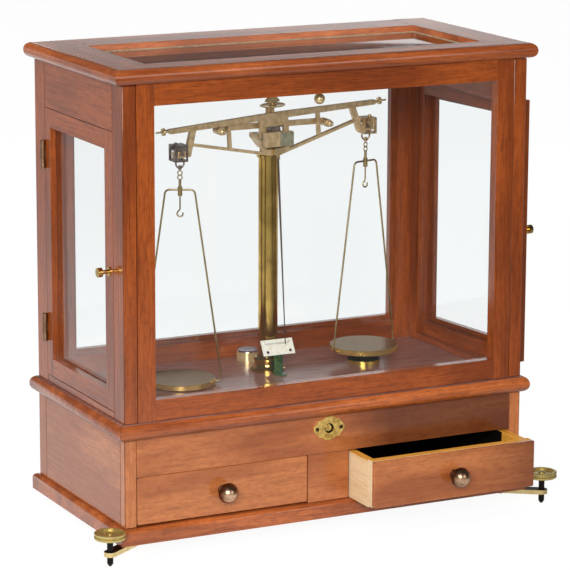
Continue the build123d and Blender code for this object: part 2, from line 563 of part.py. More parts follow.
# ---- column on its turned foot, with the yoke for the arbor under the floor ----
COLLAR_DOWN, COLLAR_T, COLLAR_R, NECK_R = 9.0, 2.5, 12.0, 9.0
CROSS_PIN_R, CROSS_PIN_LEN, CROSS_PIN_DOWN = 1.1, 4.0, 12.0
FLANGE_EASE, COVE_R, COVE_UP, WAIST_R, WAIST_UP = 2.0, 14.2, 6.0, 13.4, 10.0
BEAD_R, BEAD_UP, BEAD_TOP, STEP_R, STEP_UP, SHAFT_UP = 14.6, 12.0, 14.0, 11.0, 14.5, 17.0

with BuildPart() as column:
    with BuildSketch(facing(COLUMN_Y)):
        with BuildLine():
            collar = COLUMN_TOP - COLLAR_DOWN
            foot = Polyline((LIFTER_R + RUN, SLAB_Z - YOKE_DROP), (SPIGOT_R, SLAB_Z - YOKE_DROP),
                            (SPIGOT_R, FLOOR_Z), (FLANGE_R, FLOOR_Z), (FLANGE_R, FLOOR_Z + FLANGE_T),
                            (FLANGE_R - FLANGE_EASE, FLOOR_Z + FLANGE_T + FLANGE_EASE / 2))
            cove = ThreePointArc(foot @ 1, (COVE_R, FLOOR_Z + COVE_UP), (WAIST_R, FLOOR_Z + WAIST_UP))
            bead = ThreePointArc(cove @ 1, (BEAD_R, FLOOR_Z + BEAD_UP), (WAIST_R, FLOOR_Z + BEAD_TOP))
            Polyline(bead @ 1, (STEP_R, FLOOR_Z + STEP_UP), (COLUMN_R, FLOOR_Z + SHAFT_UP), (COLUMN_R, collar),
                     (COLLAR_R, collar), (COLLAR_R, collar + COLLAR_T), (NECK_R, collar + COLLAR_T),
                     (NECK_R, COLUMN_TOP), (LIFTER_R + RUN, COLUMN_TOP), foot @ 0)
        make_face()
    revolve(axis=upright_axis(0, COLUMN_Y))
    with BuildSketch(crosswise(COLUMN_R - 1)):
        with Locations((COLUMN_Y, COLUMN_TOP - CROSS_PIN_DOWN)):
            Circle(CROSS_PIN_R)
    extrude(amount=CROSS_PIN_LEN)
    slab(-YOKE_W / 2, YOKE_W / 2, COLUMN_Y - YOKE_HALF, COLUMN_Y + YOKE_HALF, SLAB_Z - YOKE_DROP, SLAB_Z)
    slab(-YOKE_W / 2, YOKE_W / 2, COLUMN_Y - SLOT_HALF, COLUMN_Y + SLOT_HALF,
         SLAB_Z - YOKE_DROP, LIFTER_FOOT_Z + SLIP, mode=Mode.SUBTRACT)
    with BuildSketch(level(SLAB_Z - YOKE_DROP)):
        with Locations((0, COLUMN_Y)):
            Circle(LIFTER_R + RUN)
    extrude(amount=YOKE_DROP, mode=Mode.SUBTRACT)
    with BuildSketch(facing(ARBOR_BACK)):
        with Locations((0, ARBOR_Z)):
            Circle(ARBOR_R + RUN)
    extrude(amount=2 * YOKE_HALF + 2, mode=Mode.SUBTRACT)
save(column, "column")

with BuildPart() as bearing_block:
    with BuildSketch(facing(COLUMN_Y + BLOCK_HALF)):
        with BuildLine():
            half, seat, block_top = BLOCK_W / 2, TONGUE_W / 2 + 3.5, COLUMN_TOP + BLOCK_H
            Polyline((half, COLUMN_TOP + 1.5), (half, block_top), (seat, block_top), (seat, AGATE_Z),
                     (-seat, AGATE_Z), (-seat, block_top), (-half, block_top), (-half, block_top - 4),
                     (-half + BLOCK_SLOPE, COLUMN_TOP), (half - 1.5, COLUMN_TOP), close=True)
        make_face()
    extrude(amount=2 * BLOCK_HALF)
    slab(-TONGUE_W / 2, TONGUE_W / 2, BEAM_Y - CAP_BEFORE, COLUMN_Y - BLOCK_HALF, AGATE_Z - TONGUE_H, AGATE_Z)
    slab(-BLOCK_W / 2, BLOCK_W / 2 - CAP_SHORT, BEAM_Y - CAP_BEFORE - CAP_T, BEAM_Y - CAP_BEFORE,
         COLUMN_TOP + CAP_UP, COLUMN_TOP + CAP_UP + CAP_H)
    with BuildSketch(level(COLUMN_TOP)):
        with Locations((0, COLUMN_Y)):
            Circle(LIFTER_R + RUN)
    extrude(amount=BLOCK_H, mode=Mode.SUBTRACT)
save(bearing_block, "bearing_block")

with BuildPart() as agate_plane:
    slab(-TONGUE_W / 2, TONGUE_W / 2, BEAM_Y - TONGUE_OUT, COLUMN_Y - LIFTER_R - 1.0,
         AGATE_Z, AGATE_TOP)
save(agate_plane, "agate_plane")

# ---- beam, drawn level about its central knife edge and laid over by TILT ----
TILT_COS, TILT_SIN = cos(radians(TILT)), sin(radians(TILT))


def beam_plane(y):
    """Plane of the beam at depth y, facing the front: local x along the beam, local y across it."""
    return Plane((0, CASE_Y + y, PIVOT_Z), x_dir=(TILT_COS, 0, TILT_SIN), z_dir=(0, -1, 0))


def beam_point(u, w, y=BEAM_Y):
    return (u * TILT_COS - w * TILT_SIN, CASE_Y + y, PIVOT_Z + u * TILT_SIN + w * TILT_COS)


def along_beam(u, w):
    """Plane square to the beam at u, w, looking outwards along +u."""
    return Plane(beam_point(u, w), x_dir=(0, 1, 0), z_dir=(TILT_COS, 0, TILT_SIN))


BEAM_BACK = BEAM_Y + BEAM_T / 2
CHORD_W, CHORD_END, CHORD_LOW = 24.0, 114.0, 17.3
FOOT_U0, FOOT_U1, FOOT_W0, FOOT_W1 = 94.0, 112.0, -8.0, -1.2
HEEL_W, HEEL_U = -19.0, 8.0
STRUT_U, STRUT_HALF, LOWER_T = 50.0, 1.5, 2.9
WINDOW_U, WINDOW_LOW, WINDOW_TOP, WINDOW_POST = 10.4, -12.6, 10.5, 5.4
POST_TOP_U, POST_W = 86.5, 6.2
LOWER_MEET_W = 2.0
STEM_R, STEM_H = 1.6, 11.0      # threaded stem of the gravity nut


def post_inner(w):
    """Inner edge of the sloping end post at height w."""
    return POST_TOP_U + (CHORD_LOW - w) / (CHORD_LOW - FOOT_W0) * (FOOT_U0 - POST_TOP_U)


def lower_edge(u):
    """Underside of the lower chord at u."""
    return HEEL_W + (u - HEEL_U) * (LOWER_MEET_W - HEEL_W) / (post_inner(LOWER_MEET_W) - HEEL_U)


with BuildPart() as beam:
    with BuildSketch(beam_plane(BEAM_BACK)):
        with BuildLine():
            Polyline((0, HEEL_W), (HEEL_U, HEEL_W), (post_inner(LOWER_MEET_W), LOWER_MEET_W),
                     (FOOT_U0, FOOT_W0), (FOOT_U1, FOOT_W0), (FOOT_U1, FOOT_W1),
                     (post_inner(FOOT_W1) + POST_W, FOOT_W1), (post_inner(CHORD_LOW) + POST_W, CHORD_LOW),
                     (CHORD_END, CHORD_LOW), (CHORD_END + 4, END_ROD_W - 1), (CHORD_END + 4, END_ROD_W + 1),
                     (CHORD_END, CHORD_W - 1.8), (0, CHORD_W))
            mirror(about=Plane.YZ)
        make_face()
        with Locations((0, (WINDOW_LOW + WINDOW_TOP) / 2)):
            Rectangle(2 * WINDOW_U, WINDOW_TOP - WINDOW_LOW, mode=Mode.SUBTRACT)
        for side in (-1, 1):
            for u0, u1, u1_low in ((WINDOW_U + WINDOW_POST, STRUT_U - STRUT_HALF, STRUT_U - STRUT_HALF),
                                   (STRUT_U + STRUT_HALF, POST_TOP_U, post_inner(LOWER_MEET_W + LOWER_T))):
                with BuildLine():
                    Polyline((side * u0, CHORD_LOW), (side * u1, CHORD_LOW),
                             (side * u1_low, lower_edge(u1_low) + LOWER_T),
                             (side * u0, lower_edge(u0) + LOWER_T), close=True)
                make_face(mode=Mode.SUBTRACT)
    extrude(amount=BEAM_T)
    for side in (-1, 1):
        with BuildSketch(along_beam(side * (CHORD_END + 3), END_ROD_W)):
            Circle(0.9)
        extrude(amount=side * 12.0)
    with BuildSketch(Plane(beam_point(0, CHORD_W - 1), x_dir=(0, 1, 0), z_dir=(-TILT_SIN, 0, TILT_COS))):
        Circle(STEM_R)
    extrude(amount=STEM_H)
    for side in (-1, 1):
        with BuildSketch(beam_plane(BEAM_BACK)):
            with BuildLine():
                Polyline((side * ARM, 0), (side * (ARM + 2.6), -5), (side * (ARM - 2.6), -5), close=True)
            make_face()
        extrude(amount=BEAM_T, mode=Mode.SUBTRACT)
save(beam, "beam")

END_KNIFE_HALF, END_KNIFE_W, END_KNIFE_H = 5.4, 2.6, 5.0
KNIFE_LEN, KNIFE_HALF, KNIFE_SHOULDER = 10.2, 5.0, 5.5

with BuildPart() as knife_edges:
    with BuildSketch(beam_plane(BEAM_Y + KNIFE_LEN / 2)):
        with BuildLine():
            Polyline((0, 0), (KNIFE_HALF, KNIFE_SHOULDER), (KNIFE_HALF, WINDOW_TOP), (-KNIFE_HALF, WINDOW_TOP),
                     (-KNIFE_HALF, KNIFE_SHOULDER), close=True)
        make_face()
    extrude(amount=KNIFE_LEN)
    for side in (-1, 1):
        with BuildSketch(beam_plane(BEAM_Y + END_KNIFE_HALF)):
            with BuildLine():
                Polyline((side * ARM, 0), (side * (ARM + END_KNIFE_W), -END_KNIFE_H),
                         (side * (ARM - END_KNIFE_W), -END_KNIFE_H), close=True)
            make_face()
        extrude(amount=2 * END_KNIFE_HALF)
save(knife_edges, "knife_edges")

NUT_R, NUT_T, NUT_BORE = 3.7, 2.6, 0.98


def end_nut(side):
    with BuildPart() as nut:
        with BuildSketch(along_beam(side * END_NUT_U - NUT_T / 2, END_ROD_W)):
            Circle(NUT_R)
            Circle(NUT_BORE, mode=Mode.SUBTRACT)
        extrude(amount=NUT_T)
    return nut


save(end_nut(-1), "left_end_nut")
save(end_nut(1), "right_end_nut")

BRIM_R, BRIM_UP, BRIM_T, NUT_WAIST_R, DOME_R, DOME_UP, DOME_H = 13.0, 6.0, 2.0, 3.2, 7.8, 11.5, 5.2

with BuildPart() as gravity_nut:
    with BuildSketch(beam_plane(BEAM_Y)):
        with BuildLine():
            brim_w, dome_w = CHORD_W + BRIM_UP, CHORD_W + DOME_UP
            brim = Polyline((STEM_R + RUN, brim_w), (BRIM_R / 2, brim_w), (BRIM_R - 0.6, brim_w + 0.8),
                            (BRIM_R, brim_w + BRIM_T - 0.5), (BRIM_R - 0.6, brim_w + BRIM_T),
                            (NUT_WAIST_R + 1.4, brim_w + BRIM_T - 0.6), (NUT_WAIST_R, brim_w + BRIM_T + 0.4),
                            (NUT_WAIST_R, dome_w - 0.8), (DOME_R, dome_w))
            ball_r = (DOME_R ** 2 + DOME_H ** 2) / (2 * DOME_H)
            dome = RadiusArc(brim @ 1, (0, dome_w + DOME_H), -ball_r)
            Polyline(dome @ 1, (0, dome_w), (STEM_R + RUN, dome_w), brim @ 0)
        make_face()
    revolve(axis=Axis(beam_point(0, 0), (-TILT_SIN, 0, TILT_COS)))
save(gravity_nut, "gravity_nut")

NEEDLE_R, TIP_R, PAD_W, PAD_H, PAD_UP, PAD_COVER = 1.3, 0.45, 9.0, 7.0, 4.0, 0.5
HANG = radians(TILT + POINTER_SET)

with BuildPart() as pointer:
    root_x, root_y, root_z = beam_point(0, HEEL_W + PAD_UP, POINTER_Y)
    needle_len = (root_z - FLOOR_Z - TIP_UP) / cos(HANG)
    with BuildSketch(beam_plane(BEAM_Y - BEAM_T / 2)):
        with Locations((0, HEEL_W + PAD_UP)):
            RectangleRounded(PAD_W, PAD_H, 1.5)
    extrude(amount=POINTER_BEFORE - BEAM_T / 2 + NEEDLE_R + PAD_COVER)
    with BuildSketch(Plane((root_x, root_y, root_z), x_dir=(cos(HANG), 0, sin(HANG)), z_dir=(0, -1, 0))):
        with BuildLine():
            Polyline((0, 0), (NEEDLE_R, 0), (TIP_R, -needle_len), (0, -needle_len), close=True)
        make_face()
    revolve(axis=Axis((root_x, root_y, root_z), (sin(HANG), 0, -cos(HANG))))
save(pointer, "pointer")

# ---- arrest bar on its lifter, with a round rest under the chord of each arm ----
BAR_H, BAR_T, REST_R, REST_OUT, LIFTER_UP = 5.5, 4.0, 4.0, 1.0, 18.0
BAR_Y = BEAM_Y + BAR_BEHIND
REST_Z = beam_point(-REST_X, CHORD_LOW)[2] - SLIP - REST_R
LIFTER_TOP = REST_Z + LIFTER_UP

with BuildPart() as arrest_bar:
    slab(-REST_X, REST_X, BAR_Y - BAR_T / 2, BAR_Y + BAR_T / 2, REST_Z + REST_R - BAR_H, REST_Z + REST_R)
    with BuildSketch(level(REST_Z + REST_R - BAR_H)):
        with Locations((0, COLUMN_Y)):
            Circle(LIFTER_R + 2.5)
    extrude(amount=BAR_H)
    with BuildSketch(facing(BAR_Y + BAR_T / 2)):
        with Locations((-REST_X, REST_Z), (REST_X, REST_Z)):
            Circle(REST_R)
    extrude(amount=BAR_T / 2 + BAR_BEHIND + BEAM_T / 2 + REST_OUT)
    with BuildSketch(level(LIFTER_FOOT_Z)):
        with Locations((0, COLUMN_Y)):
            Circle(LIFTER_R)
    extrude(amount=LIFTER_TOP - LIFTER_FOOT_Z)
save(arrest_bar, "arrest_bar")

# ---- stirrups, bows and pans ----
STIRRUP_IN, STIRRUP_OUT, STIRRUP_TOP, STIRRUP_LOW, STIRRUP_HALF, CHEEK_T = 5.5, 8.5, 5.5, -11.0, 8.0, 2.2
STIRRUP_BAR_T = 1.6
CHEEK_OPEN_U, CHEEK_OPEN_W, CHEEK_OPEN_H = 1.0, 10.5, 9.4
SET_SCREW_R, SET_SCREW_OUT, SET_SCREW_U, SET_SCREW_Z = 1.5, 2.2, 4.5, 2.8
LINK_R, SHACKLE_WIRE, SHACKLE_LEG = 4.4, 0.85, 2.6
SHACKLE_Z = STIRRUP_LOW - SHACKLE_LEG - LINK_R
SWIVEL_R, SWIVEL_BOSS_R, SWIVEL_BOSS_H = 0.8, 1.9, 2.6
EYE_R, EYE_WIRE, EYE_Z = 2.2, 0.6, (-23.0, -27.6)
SLEEVE_R, SLEEVE_TOP, SLEEVE_LOW = 2.3, -36.8, -45.9
HOOK_WIRE, HOOK_R, HOOK_Z = 0.75, 2.9, -64.2
HOOK_TURN = 2 * degrees(atan(0.5))      # the shank bends this far out and back, to the side of the hook
BOW_FOOT = PAN_R + BOW_STAND
BOW_BEND, BOW_INTO_RIM = 4.6, 3.2


def hang_plane(side, yaw=0.0, z=0.0):
    """Upright plane through an end knife edge, turned by yaw degrees: local y is height from the edge."""
    x, y, edge_z = beam_point(side * ARM, 0)
    a = radians(yaw)
    return Plane((x, y, edge_z + z), x_dir=(cos(a), sin(a), 0), z_dir=(sin(a), -cos(a), 0))


def flat_plane(side, z):
    x, y, edge_z = beam_point(side * ARM, 0)
    return Plane((x, y, edge_z + z))


def stirrup(side):
    """Steel ring that rides on the end knife edge, with the shackle below it."""
    x, y, edge_z = beam_point(side * ARM, 0)
    x0, x1 = sorted((x - side * STIRRUP_IN, x + side * STIRRUP_OUT))
    with BuildPart() as ring:
        with BuildSketch(Plane((x0, y, edge_z), x_dir=(0, 1, 0), z_dir=(1, 0, 0))):
            with Locations((0, (STIRRUP_TOP + STIRRUP_LOW) / 2)):
                Rectangle(2 * STIRRUP_HALF, STIRRUP_TOP - STIRRUP_LOW)
            with Locations((0, (KNIFE_AIR + STIRRUP_LOW + STIRRUP_BAR_T) / 2)):
                Rectangle(2 * (STIRRUP_HALF - CHEEK_T), KNIFE_AIR - STIRRUP_LOW - STIRRUP_BAR_T,
                          mode=Mode.SUBTRACT)
        extrude(amount=x1 - x0)
        with BuildSketch(hang_plane(side).offset(-STIRRUP_HALF)):
            with Locations((side * CHEEK_OPEN_U, KNIFE_AIR - CHEEK_OPEN_H / 2)):
                Rectangle(CHEEK_OPEN_W, CHEEK_OPEN_H)
        extrude(amount=2 * STIRRUP_HALF, mode=Mode.SUBTRACT)
        with BuildSketch(flat_plane(side, STIRRUP_TOP)):
            with Locations((side * SET_SCREW_U, 0)):
                Circle(SET_SCREW_R)
        extrude(amount=SET_SCREW_OUT)
        with BuildSketch(Plane((x + side * STIRRUP_OUT, y, edge_z + SET_SCREW_Z), x_dir=(0, 1, 0),
                               z_dir=(side, 0, 0))):
            Circle(SET_SCREW_R)
        extrude(amount=SET_SCREW_OUT)
        with BuildLine(hang_plane(side)) as shackle_path:
            down = Line((-LINK_R, STIRRUP_LOW + 0.6), (-LINK_R, STIRRUP_LOW - SHACKLE_LEG))
            bend = ThreePointArc(down @ 1, (0, SHACKLE_Z), (LINK_R, STIRRUP_LOW - SHACKLE_LEG))
            Line(bend @ 1, (LINK_R, STIRRUP_LOW + 0.6))
        with BuildSketch(Plane(shackle_path.line @ 0, z_dir=shackle_path.line % 0)):
            Circle(SHACKLE_WIRE)
        sweep(path=shackle_path.line)
        with BuildSketch(flat_plane(side, SHACKLE_Z - SWIVEL_BOSS_H / 2)):
            Circle(SWIVEL_BOSS_R)
        extrude(amount=SWIVEL_BOSS_H)
        with BuildSketch(flat_plane(side, SHACKLE_Z - SWIVEL_BOSS_H / 2)):
            Circle(SWIVEL_R + RUN)
        extrude(amount=SWIVEL_BOSS_H, mode=Mode.SUBTRACT)
    return ring


def bow(side, yaw):
    """Swivel, two eyes, sleeve and hook, and the wire bow whose feet turn in at the rim of the pan."""
    rim_z = -PAN_DROP - BOW_INTO_RIM
    foot_in = PAN_R + 0.1
    swivel_top = SHACKLE_Z + SWIVEL_BOSS_H / 2 + 0.1
    with BuildPart() as wire:
        with BuildLine(hang_plane(side, yaw)) as bow_path:
            FilletPolyline((-foot_in, rim_z), (-BOW_FOOT, rim_z), (-BOW_HALF, -BOW_TOP), (BOW_HALF, -BOW_TOP),
                           (BOW_FOOT, rim_z), (foot_in, rim_z), radius=BOW_BEND)
        with BuildSketch(Plane(bow_path.line @ 0, z_dir=bow_path.line % 0)):
            Circle(BOW_WIRE)
        sweep(path=bow_path.line)
        with BuildSketch(flat_plane(side, SLEEVE_LOW)):
            Circle(SLEEVE_R)
        extrude(amount=SLEEVE_TOP - SLEEVE_LOW)
        with BuildSketch(flat_plane(side, SLEEVE_TOP)):
            Circle(1.4)
        extrude(amount=EYE_Z[1] - EYE_R - SLEEVE_TOP)
        for eye_z in EYE_Z:
            with BuildSketch(flat_plane(side, eye_z).rotated((0, 0, yaw))):
                with Locations((EYE_R, 0)):
                    Circle(EYE_WIRE)
            revolve(axis=Axis(hang_plane(side, yaw, eye_z).origin, hang_plane(side, yaw).z_dir))
        with BuildSketch(flat_plane(side, EYE_Z[0] + EYE_R - 0.3)):
            Circle(SWIVEL_R)
        extrude(amount=swivel_top - EYE_Z[0] - EYE_R + 0.3)
        with BuildSketch(flat_plane(side, swivel_top)):
            Circle(1.5)
        extrude(amount=1.2)
        with BuildLine(hang_plane(side, yaw)) as hook_path:
            shank = Line((0, SLEEVE_LOW + 0.5), (0, HOOK_Z + 2 * HOOK_R))
            CenterArc((-1.25 * HOOK_R, HOOK_Z + 2 * HOOK_R), 1.25 * HOOK_R, 0, -HOOK_TURN)
            CenterArc((0.25 * HOOK_R, HOOK_Z), 1.25 * HOOK_R, 180 - HOOK_TURN, HOOK_TURN)
            CenterArc((0, HOOK_Z), HOOK_R, 180, 205)
        with BuildSketch(Plane(shank @ 0, z_dir=shank % 0)):
            Circle(HOOK_WIRE)
        sweep(path=hook_path.line)
    return wire


def pan(side):
    """Spun pan: a flat plate with a turned-down rim."""
    x, y, edge_z = beam_point(side * ARM, 0)
    top = edge_z - PAN_DROP
    with BuildPart() as dish:
        with BuildSketch(Plane((0, y, 0), x_dir=(1, 0, 0), z_dir=(0, -1, 0))):
            with BuildLine():
                Polyline(*[(x + r, top + z) for r, z in (
                    (0, -1.4), (PAN_R - 4, -1.4), (PAN_R - 1.5, -2.4), (PAN_R - 1.5, -PAN_RIM),
                    (PAN_R - 0.3, -PAN_RIM), (PAN_R, -PAN_RIM + 0.5), (PAN_R, -0.6), (PAN_R - 0.6, 0),
                    (0, 0))], close=True)
            make_face()
        revolve(axis=Axis((x, y, 0), (0, 0, 1)))
    return dish


for side, prefix, yaw in ((-1, "left", LEFT_YAW), (1, "right", RIGHT_YAW)):
    save(stirrup(side), f"{prefix}_stirrup")
    save(bow(side, yaw), f"{prefix}_bow")
    save(pan(side), f"{prefix}_pan")

with BuildPart() as pan_stops:
    for side in (-1, 1):
        with BuildSketch(level(FLOOR_Z)):
            with Locations((beam_point(side * ARM, 0)[0], BEAM_Y)):
                Circle(STOP_DISC_R)
        extrude(amount=STOP_DISC_H)
save(pan_stops, "pan_stops")

# ---- ivory scale on its bracket ----
LEAN = radians(PLATE_LEAN)
PLATE_Z = FLOOR_Z + PLATE_UP
BRACKET_T, BRACKET_FOOT, RISER_W, BAR_W, BAR_UP = 1.5, 9.0, 10.0, 31.0, 8.0
SCALE_SCREW_X, SCALE_SCREW_UP, SCALE_SCREW_R = 12.7, 3.6, 1.3


def scale_plane(depth=0.0):
    """Front face of the leaning plate: local y runs up the plate. depth goes into the plate."""
    origin = Vector(PLATE_X, CASE_Y + PLATE_Y, PLATE_Z) + Vector(0, cos(LEAN), -sin(LEAN)) * depth
    return Plane(tuple(origin), x_dir=(1, 0, 0), z_dir=(0, -cos(LEAN), sin(LEAN)))


with BuildPart() as scale_plate:
    with BuildSketch(scale_plane(PLATE_T)):
        with Locations((0, PLATE_H / 2)):
            Rectangle(PLATE_W, PLATE_H)
        with Locations((-SCALE_SCREW_X, SCALE_SCREW_UP), (SCALE_SCREW_X, SCALE_SCREW_UP)):
            Circle(SCALE_SCREW_R + RUN, mode=Mode.SUBTRACT)
    extrude(amount=PLATE_T)
save(scale_plate, "scale_plate")

RISER_Y = PLATE_Y + PLATE_T / cos(LEAN) + tan(LEAN) * 2.0

with BuildPart() as scale_bracket:
    slab(PLATE_X - RISER_W / 2, PLATE_X + RISER_W / 2, RISER_Y - BRACKET_FOOT, RISER_Y + BRACKET_T,
         FLOOR_Z, FLOOR_Z + BRACKET_T)
    slab(PLATE_X - RISER_W / 2, PLATE_X + RISER_W / 2, RISER_Y, RISER_Y + BRACKET_T, FLOOR_Z, PLATE_Z + 1.5)
    with BuildSketch(scale_plane(PLATE_T + BRACKET_T)):
        with Locations((0, BAR_UP / 2)):
            Rectangle(BAR_W, BAR_UP)
        with Locations((-SCALE_SCREW_X, SCALE_SCREW_UP), (SCALE_SCREW_X, SCALE_SCREW_UP)):
            Circle(SCALE_SCREW_R + RUN, mode=Mode.SUBTRACT)
    extrude(amount=BRACKET_T)
save(scale_bracket, "scale_bracket")

# ---- circular spirit level behind the column ----
LEVEL_X, LEVEL_IN, LEVEL_R, LEVEL_H, LEVEL_WALL, LEVEL_CAP = 0.5, 31.5, 11.5, 12.0, 1.2, 2.5
LEVEL_Y = HALF_D - LEVEL_IN

with BuildPart() as spirit_level:
    with BuildSketch(level(FLOOR_Z)):
        with Locations((LEVEL_X, LEVEL_Y)):
            Circle(LEVEL_R)
    extrude(amount=LEVEL_H - LEVEL_CAP)
    with BuildSketch(level(FLOOR_Z + 2.0)):
        with Locations((LEVEL_X, LEVEL_Y)):
            Circle(LEVEL_R - LEVEL_WALL)
    extrude(amount=LEVEL_H, mode=Mode.SUBTRACT)
save(spirit_level, "spirit_level")

with BuildPart() as level_vial:
    with BuildSketch(level(FLOOR_Z + 2.0)):
        with Locations((LEVEL_X, LEVEL_Y)):
            Circle(LEVEL_R - LEVEL_WALL - RUN)
    extrude(amount=LEVEL_H - 2.0)
    fillet(level_vial.faces().sort_by(Axis.Z)[-1].edges(), radius=LEVEL_CAP * 0.8)
save(level_vial, "level_vial")

# ---- screws that hold the arms, the escutcheon and the scale ----
with BuildPart() as screws:
    with BuildSketch(level(FOOT_H - ARM_T - ARM_HEAD_T)):
        with Locations(*ARM_HOLES):
            Circle(ARM_HEAD_R)
    extrude(amount=ARM_HEAD_T)
    with BuildSketch(level(FOOT_H - ARM_T - ARM_HEAD_T)):
        with Locations(*ARM_HOLES):
            Circle(ARM_SCREW_R)
    extrude(amount=ARM_HEAD_T + ARM_T + ARM_SCREW_DEEP - 0.5)
    with BuildSketch(facing(-HALF_D + PLATE_SCREW_DEEP - 0.5)):
        with Locations((-EAR_X, ARBOR_Z), (EAR_X, ARBOR_Z)):
            Circle(PLATE_SCREW_R)
    extrude(amount=PLATE_SCREW_DEEP - 0.5 + ESCUTCHEON_T)
    with BuildSketch(scale_plane(PLATE_T + BRACKET_T)):
        with Locations((-SCALE_SCREW_X, SCALE_SCREW_UP), (SCALE_SCREW_X, SCALE_SCREW_UP)):
            Circle(SCALE_SCREW_R)
    extrude(amount=PLATE_T + BRACKET_T + 0.4)
save(screws, "screws")
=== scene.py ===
import json
import random
from math import cos, pi, radians, sin

import bmesh
import bpy
from mathutils import Matrix, Vector

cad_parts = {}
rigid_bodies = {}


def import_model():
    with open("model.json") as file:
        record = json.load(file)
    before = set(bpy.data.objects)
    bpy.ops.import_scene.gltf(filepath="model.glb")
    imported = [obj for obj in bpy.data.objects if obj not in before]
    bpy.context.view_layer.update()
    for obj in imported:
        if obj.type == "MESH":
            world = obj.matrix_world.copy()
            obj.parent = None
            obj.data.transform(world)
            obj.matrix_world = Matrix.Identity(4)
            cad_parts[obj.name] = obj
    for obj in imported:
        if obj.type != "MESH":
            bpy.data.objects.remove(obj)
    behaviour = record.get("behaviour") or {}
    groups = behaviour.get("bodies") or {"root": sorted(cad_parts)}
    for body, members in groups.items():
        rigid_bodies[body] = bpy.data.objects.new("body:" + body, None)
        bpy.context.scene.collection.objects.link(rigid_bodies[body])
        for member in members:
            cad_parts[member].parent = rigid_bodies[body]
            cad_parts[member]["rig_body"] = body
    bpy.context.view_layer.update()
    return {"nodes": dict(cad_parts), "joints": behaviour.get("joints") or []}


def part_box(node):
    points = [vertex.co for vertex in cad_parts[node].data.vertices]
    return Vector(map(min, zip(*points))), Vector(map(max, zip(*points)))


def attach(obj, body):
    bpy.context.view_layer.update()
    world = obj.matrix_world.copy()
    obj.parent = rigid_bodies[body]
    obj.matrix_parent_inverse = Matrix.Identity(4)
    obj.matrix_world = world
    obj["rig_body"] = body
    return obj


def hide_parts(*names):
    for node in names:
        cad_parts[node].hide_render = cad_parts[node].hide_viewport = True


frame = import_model()
NODES = frame["nodes"]
JOINTS = {joint["name"]: joint for joint in frame["joints"]}
MM = 0.001
AXES = {"x": Vector((1, 0, 0)), "y": Vector((0, 1, 0)), "z": Vector((0, 0, 1))}
REBATE = 5 * MM         # how far the glass runs into its frame
HAIR = 0.02 * MM


# ---- node helpers ----
def linear(code):
    """Linear colour of an sRGB hex value."""
    channels = [int(code[i:i + 2], 16) / 255 for i in (0, 2, 4)]
    return (*[c / 12.92 if c <= 0.04045 else ((c + 0.055) / 1.055) ** 2.4 for c in channels], 1.0)


def add(tree, kind, inputs=None, **settings):
    """Adds a node with its settings. Each input takes a value, or a link from another node's output."""
    made = tree.nodes.new(kind)
    for name, value in settings.items():
        setattr(made, name, value)
    for name, value in (inputs or {}).items():
        if isinstance(value, bpy.types.NodeSocket):
            tree.links.new(value, made.inputs[name])
        else:
            made.inputs[name].default_value = value
    return made.outputs


def blank(name):
    """A new material and its emptied node tree."""
    material = bpy.data.materials.new(name)
    material.use_nodes = True
    material.node_tree.nodes.clear()
    return material, material.node_tree


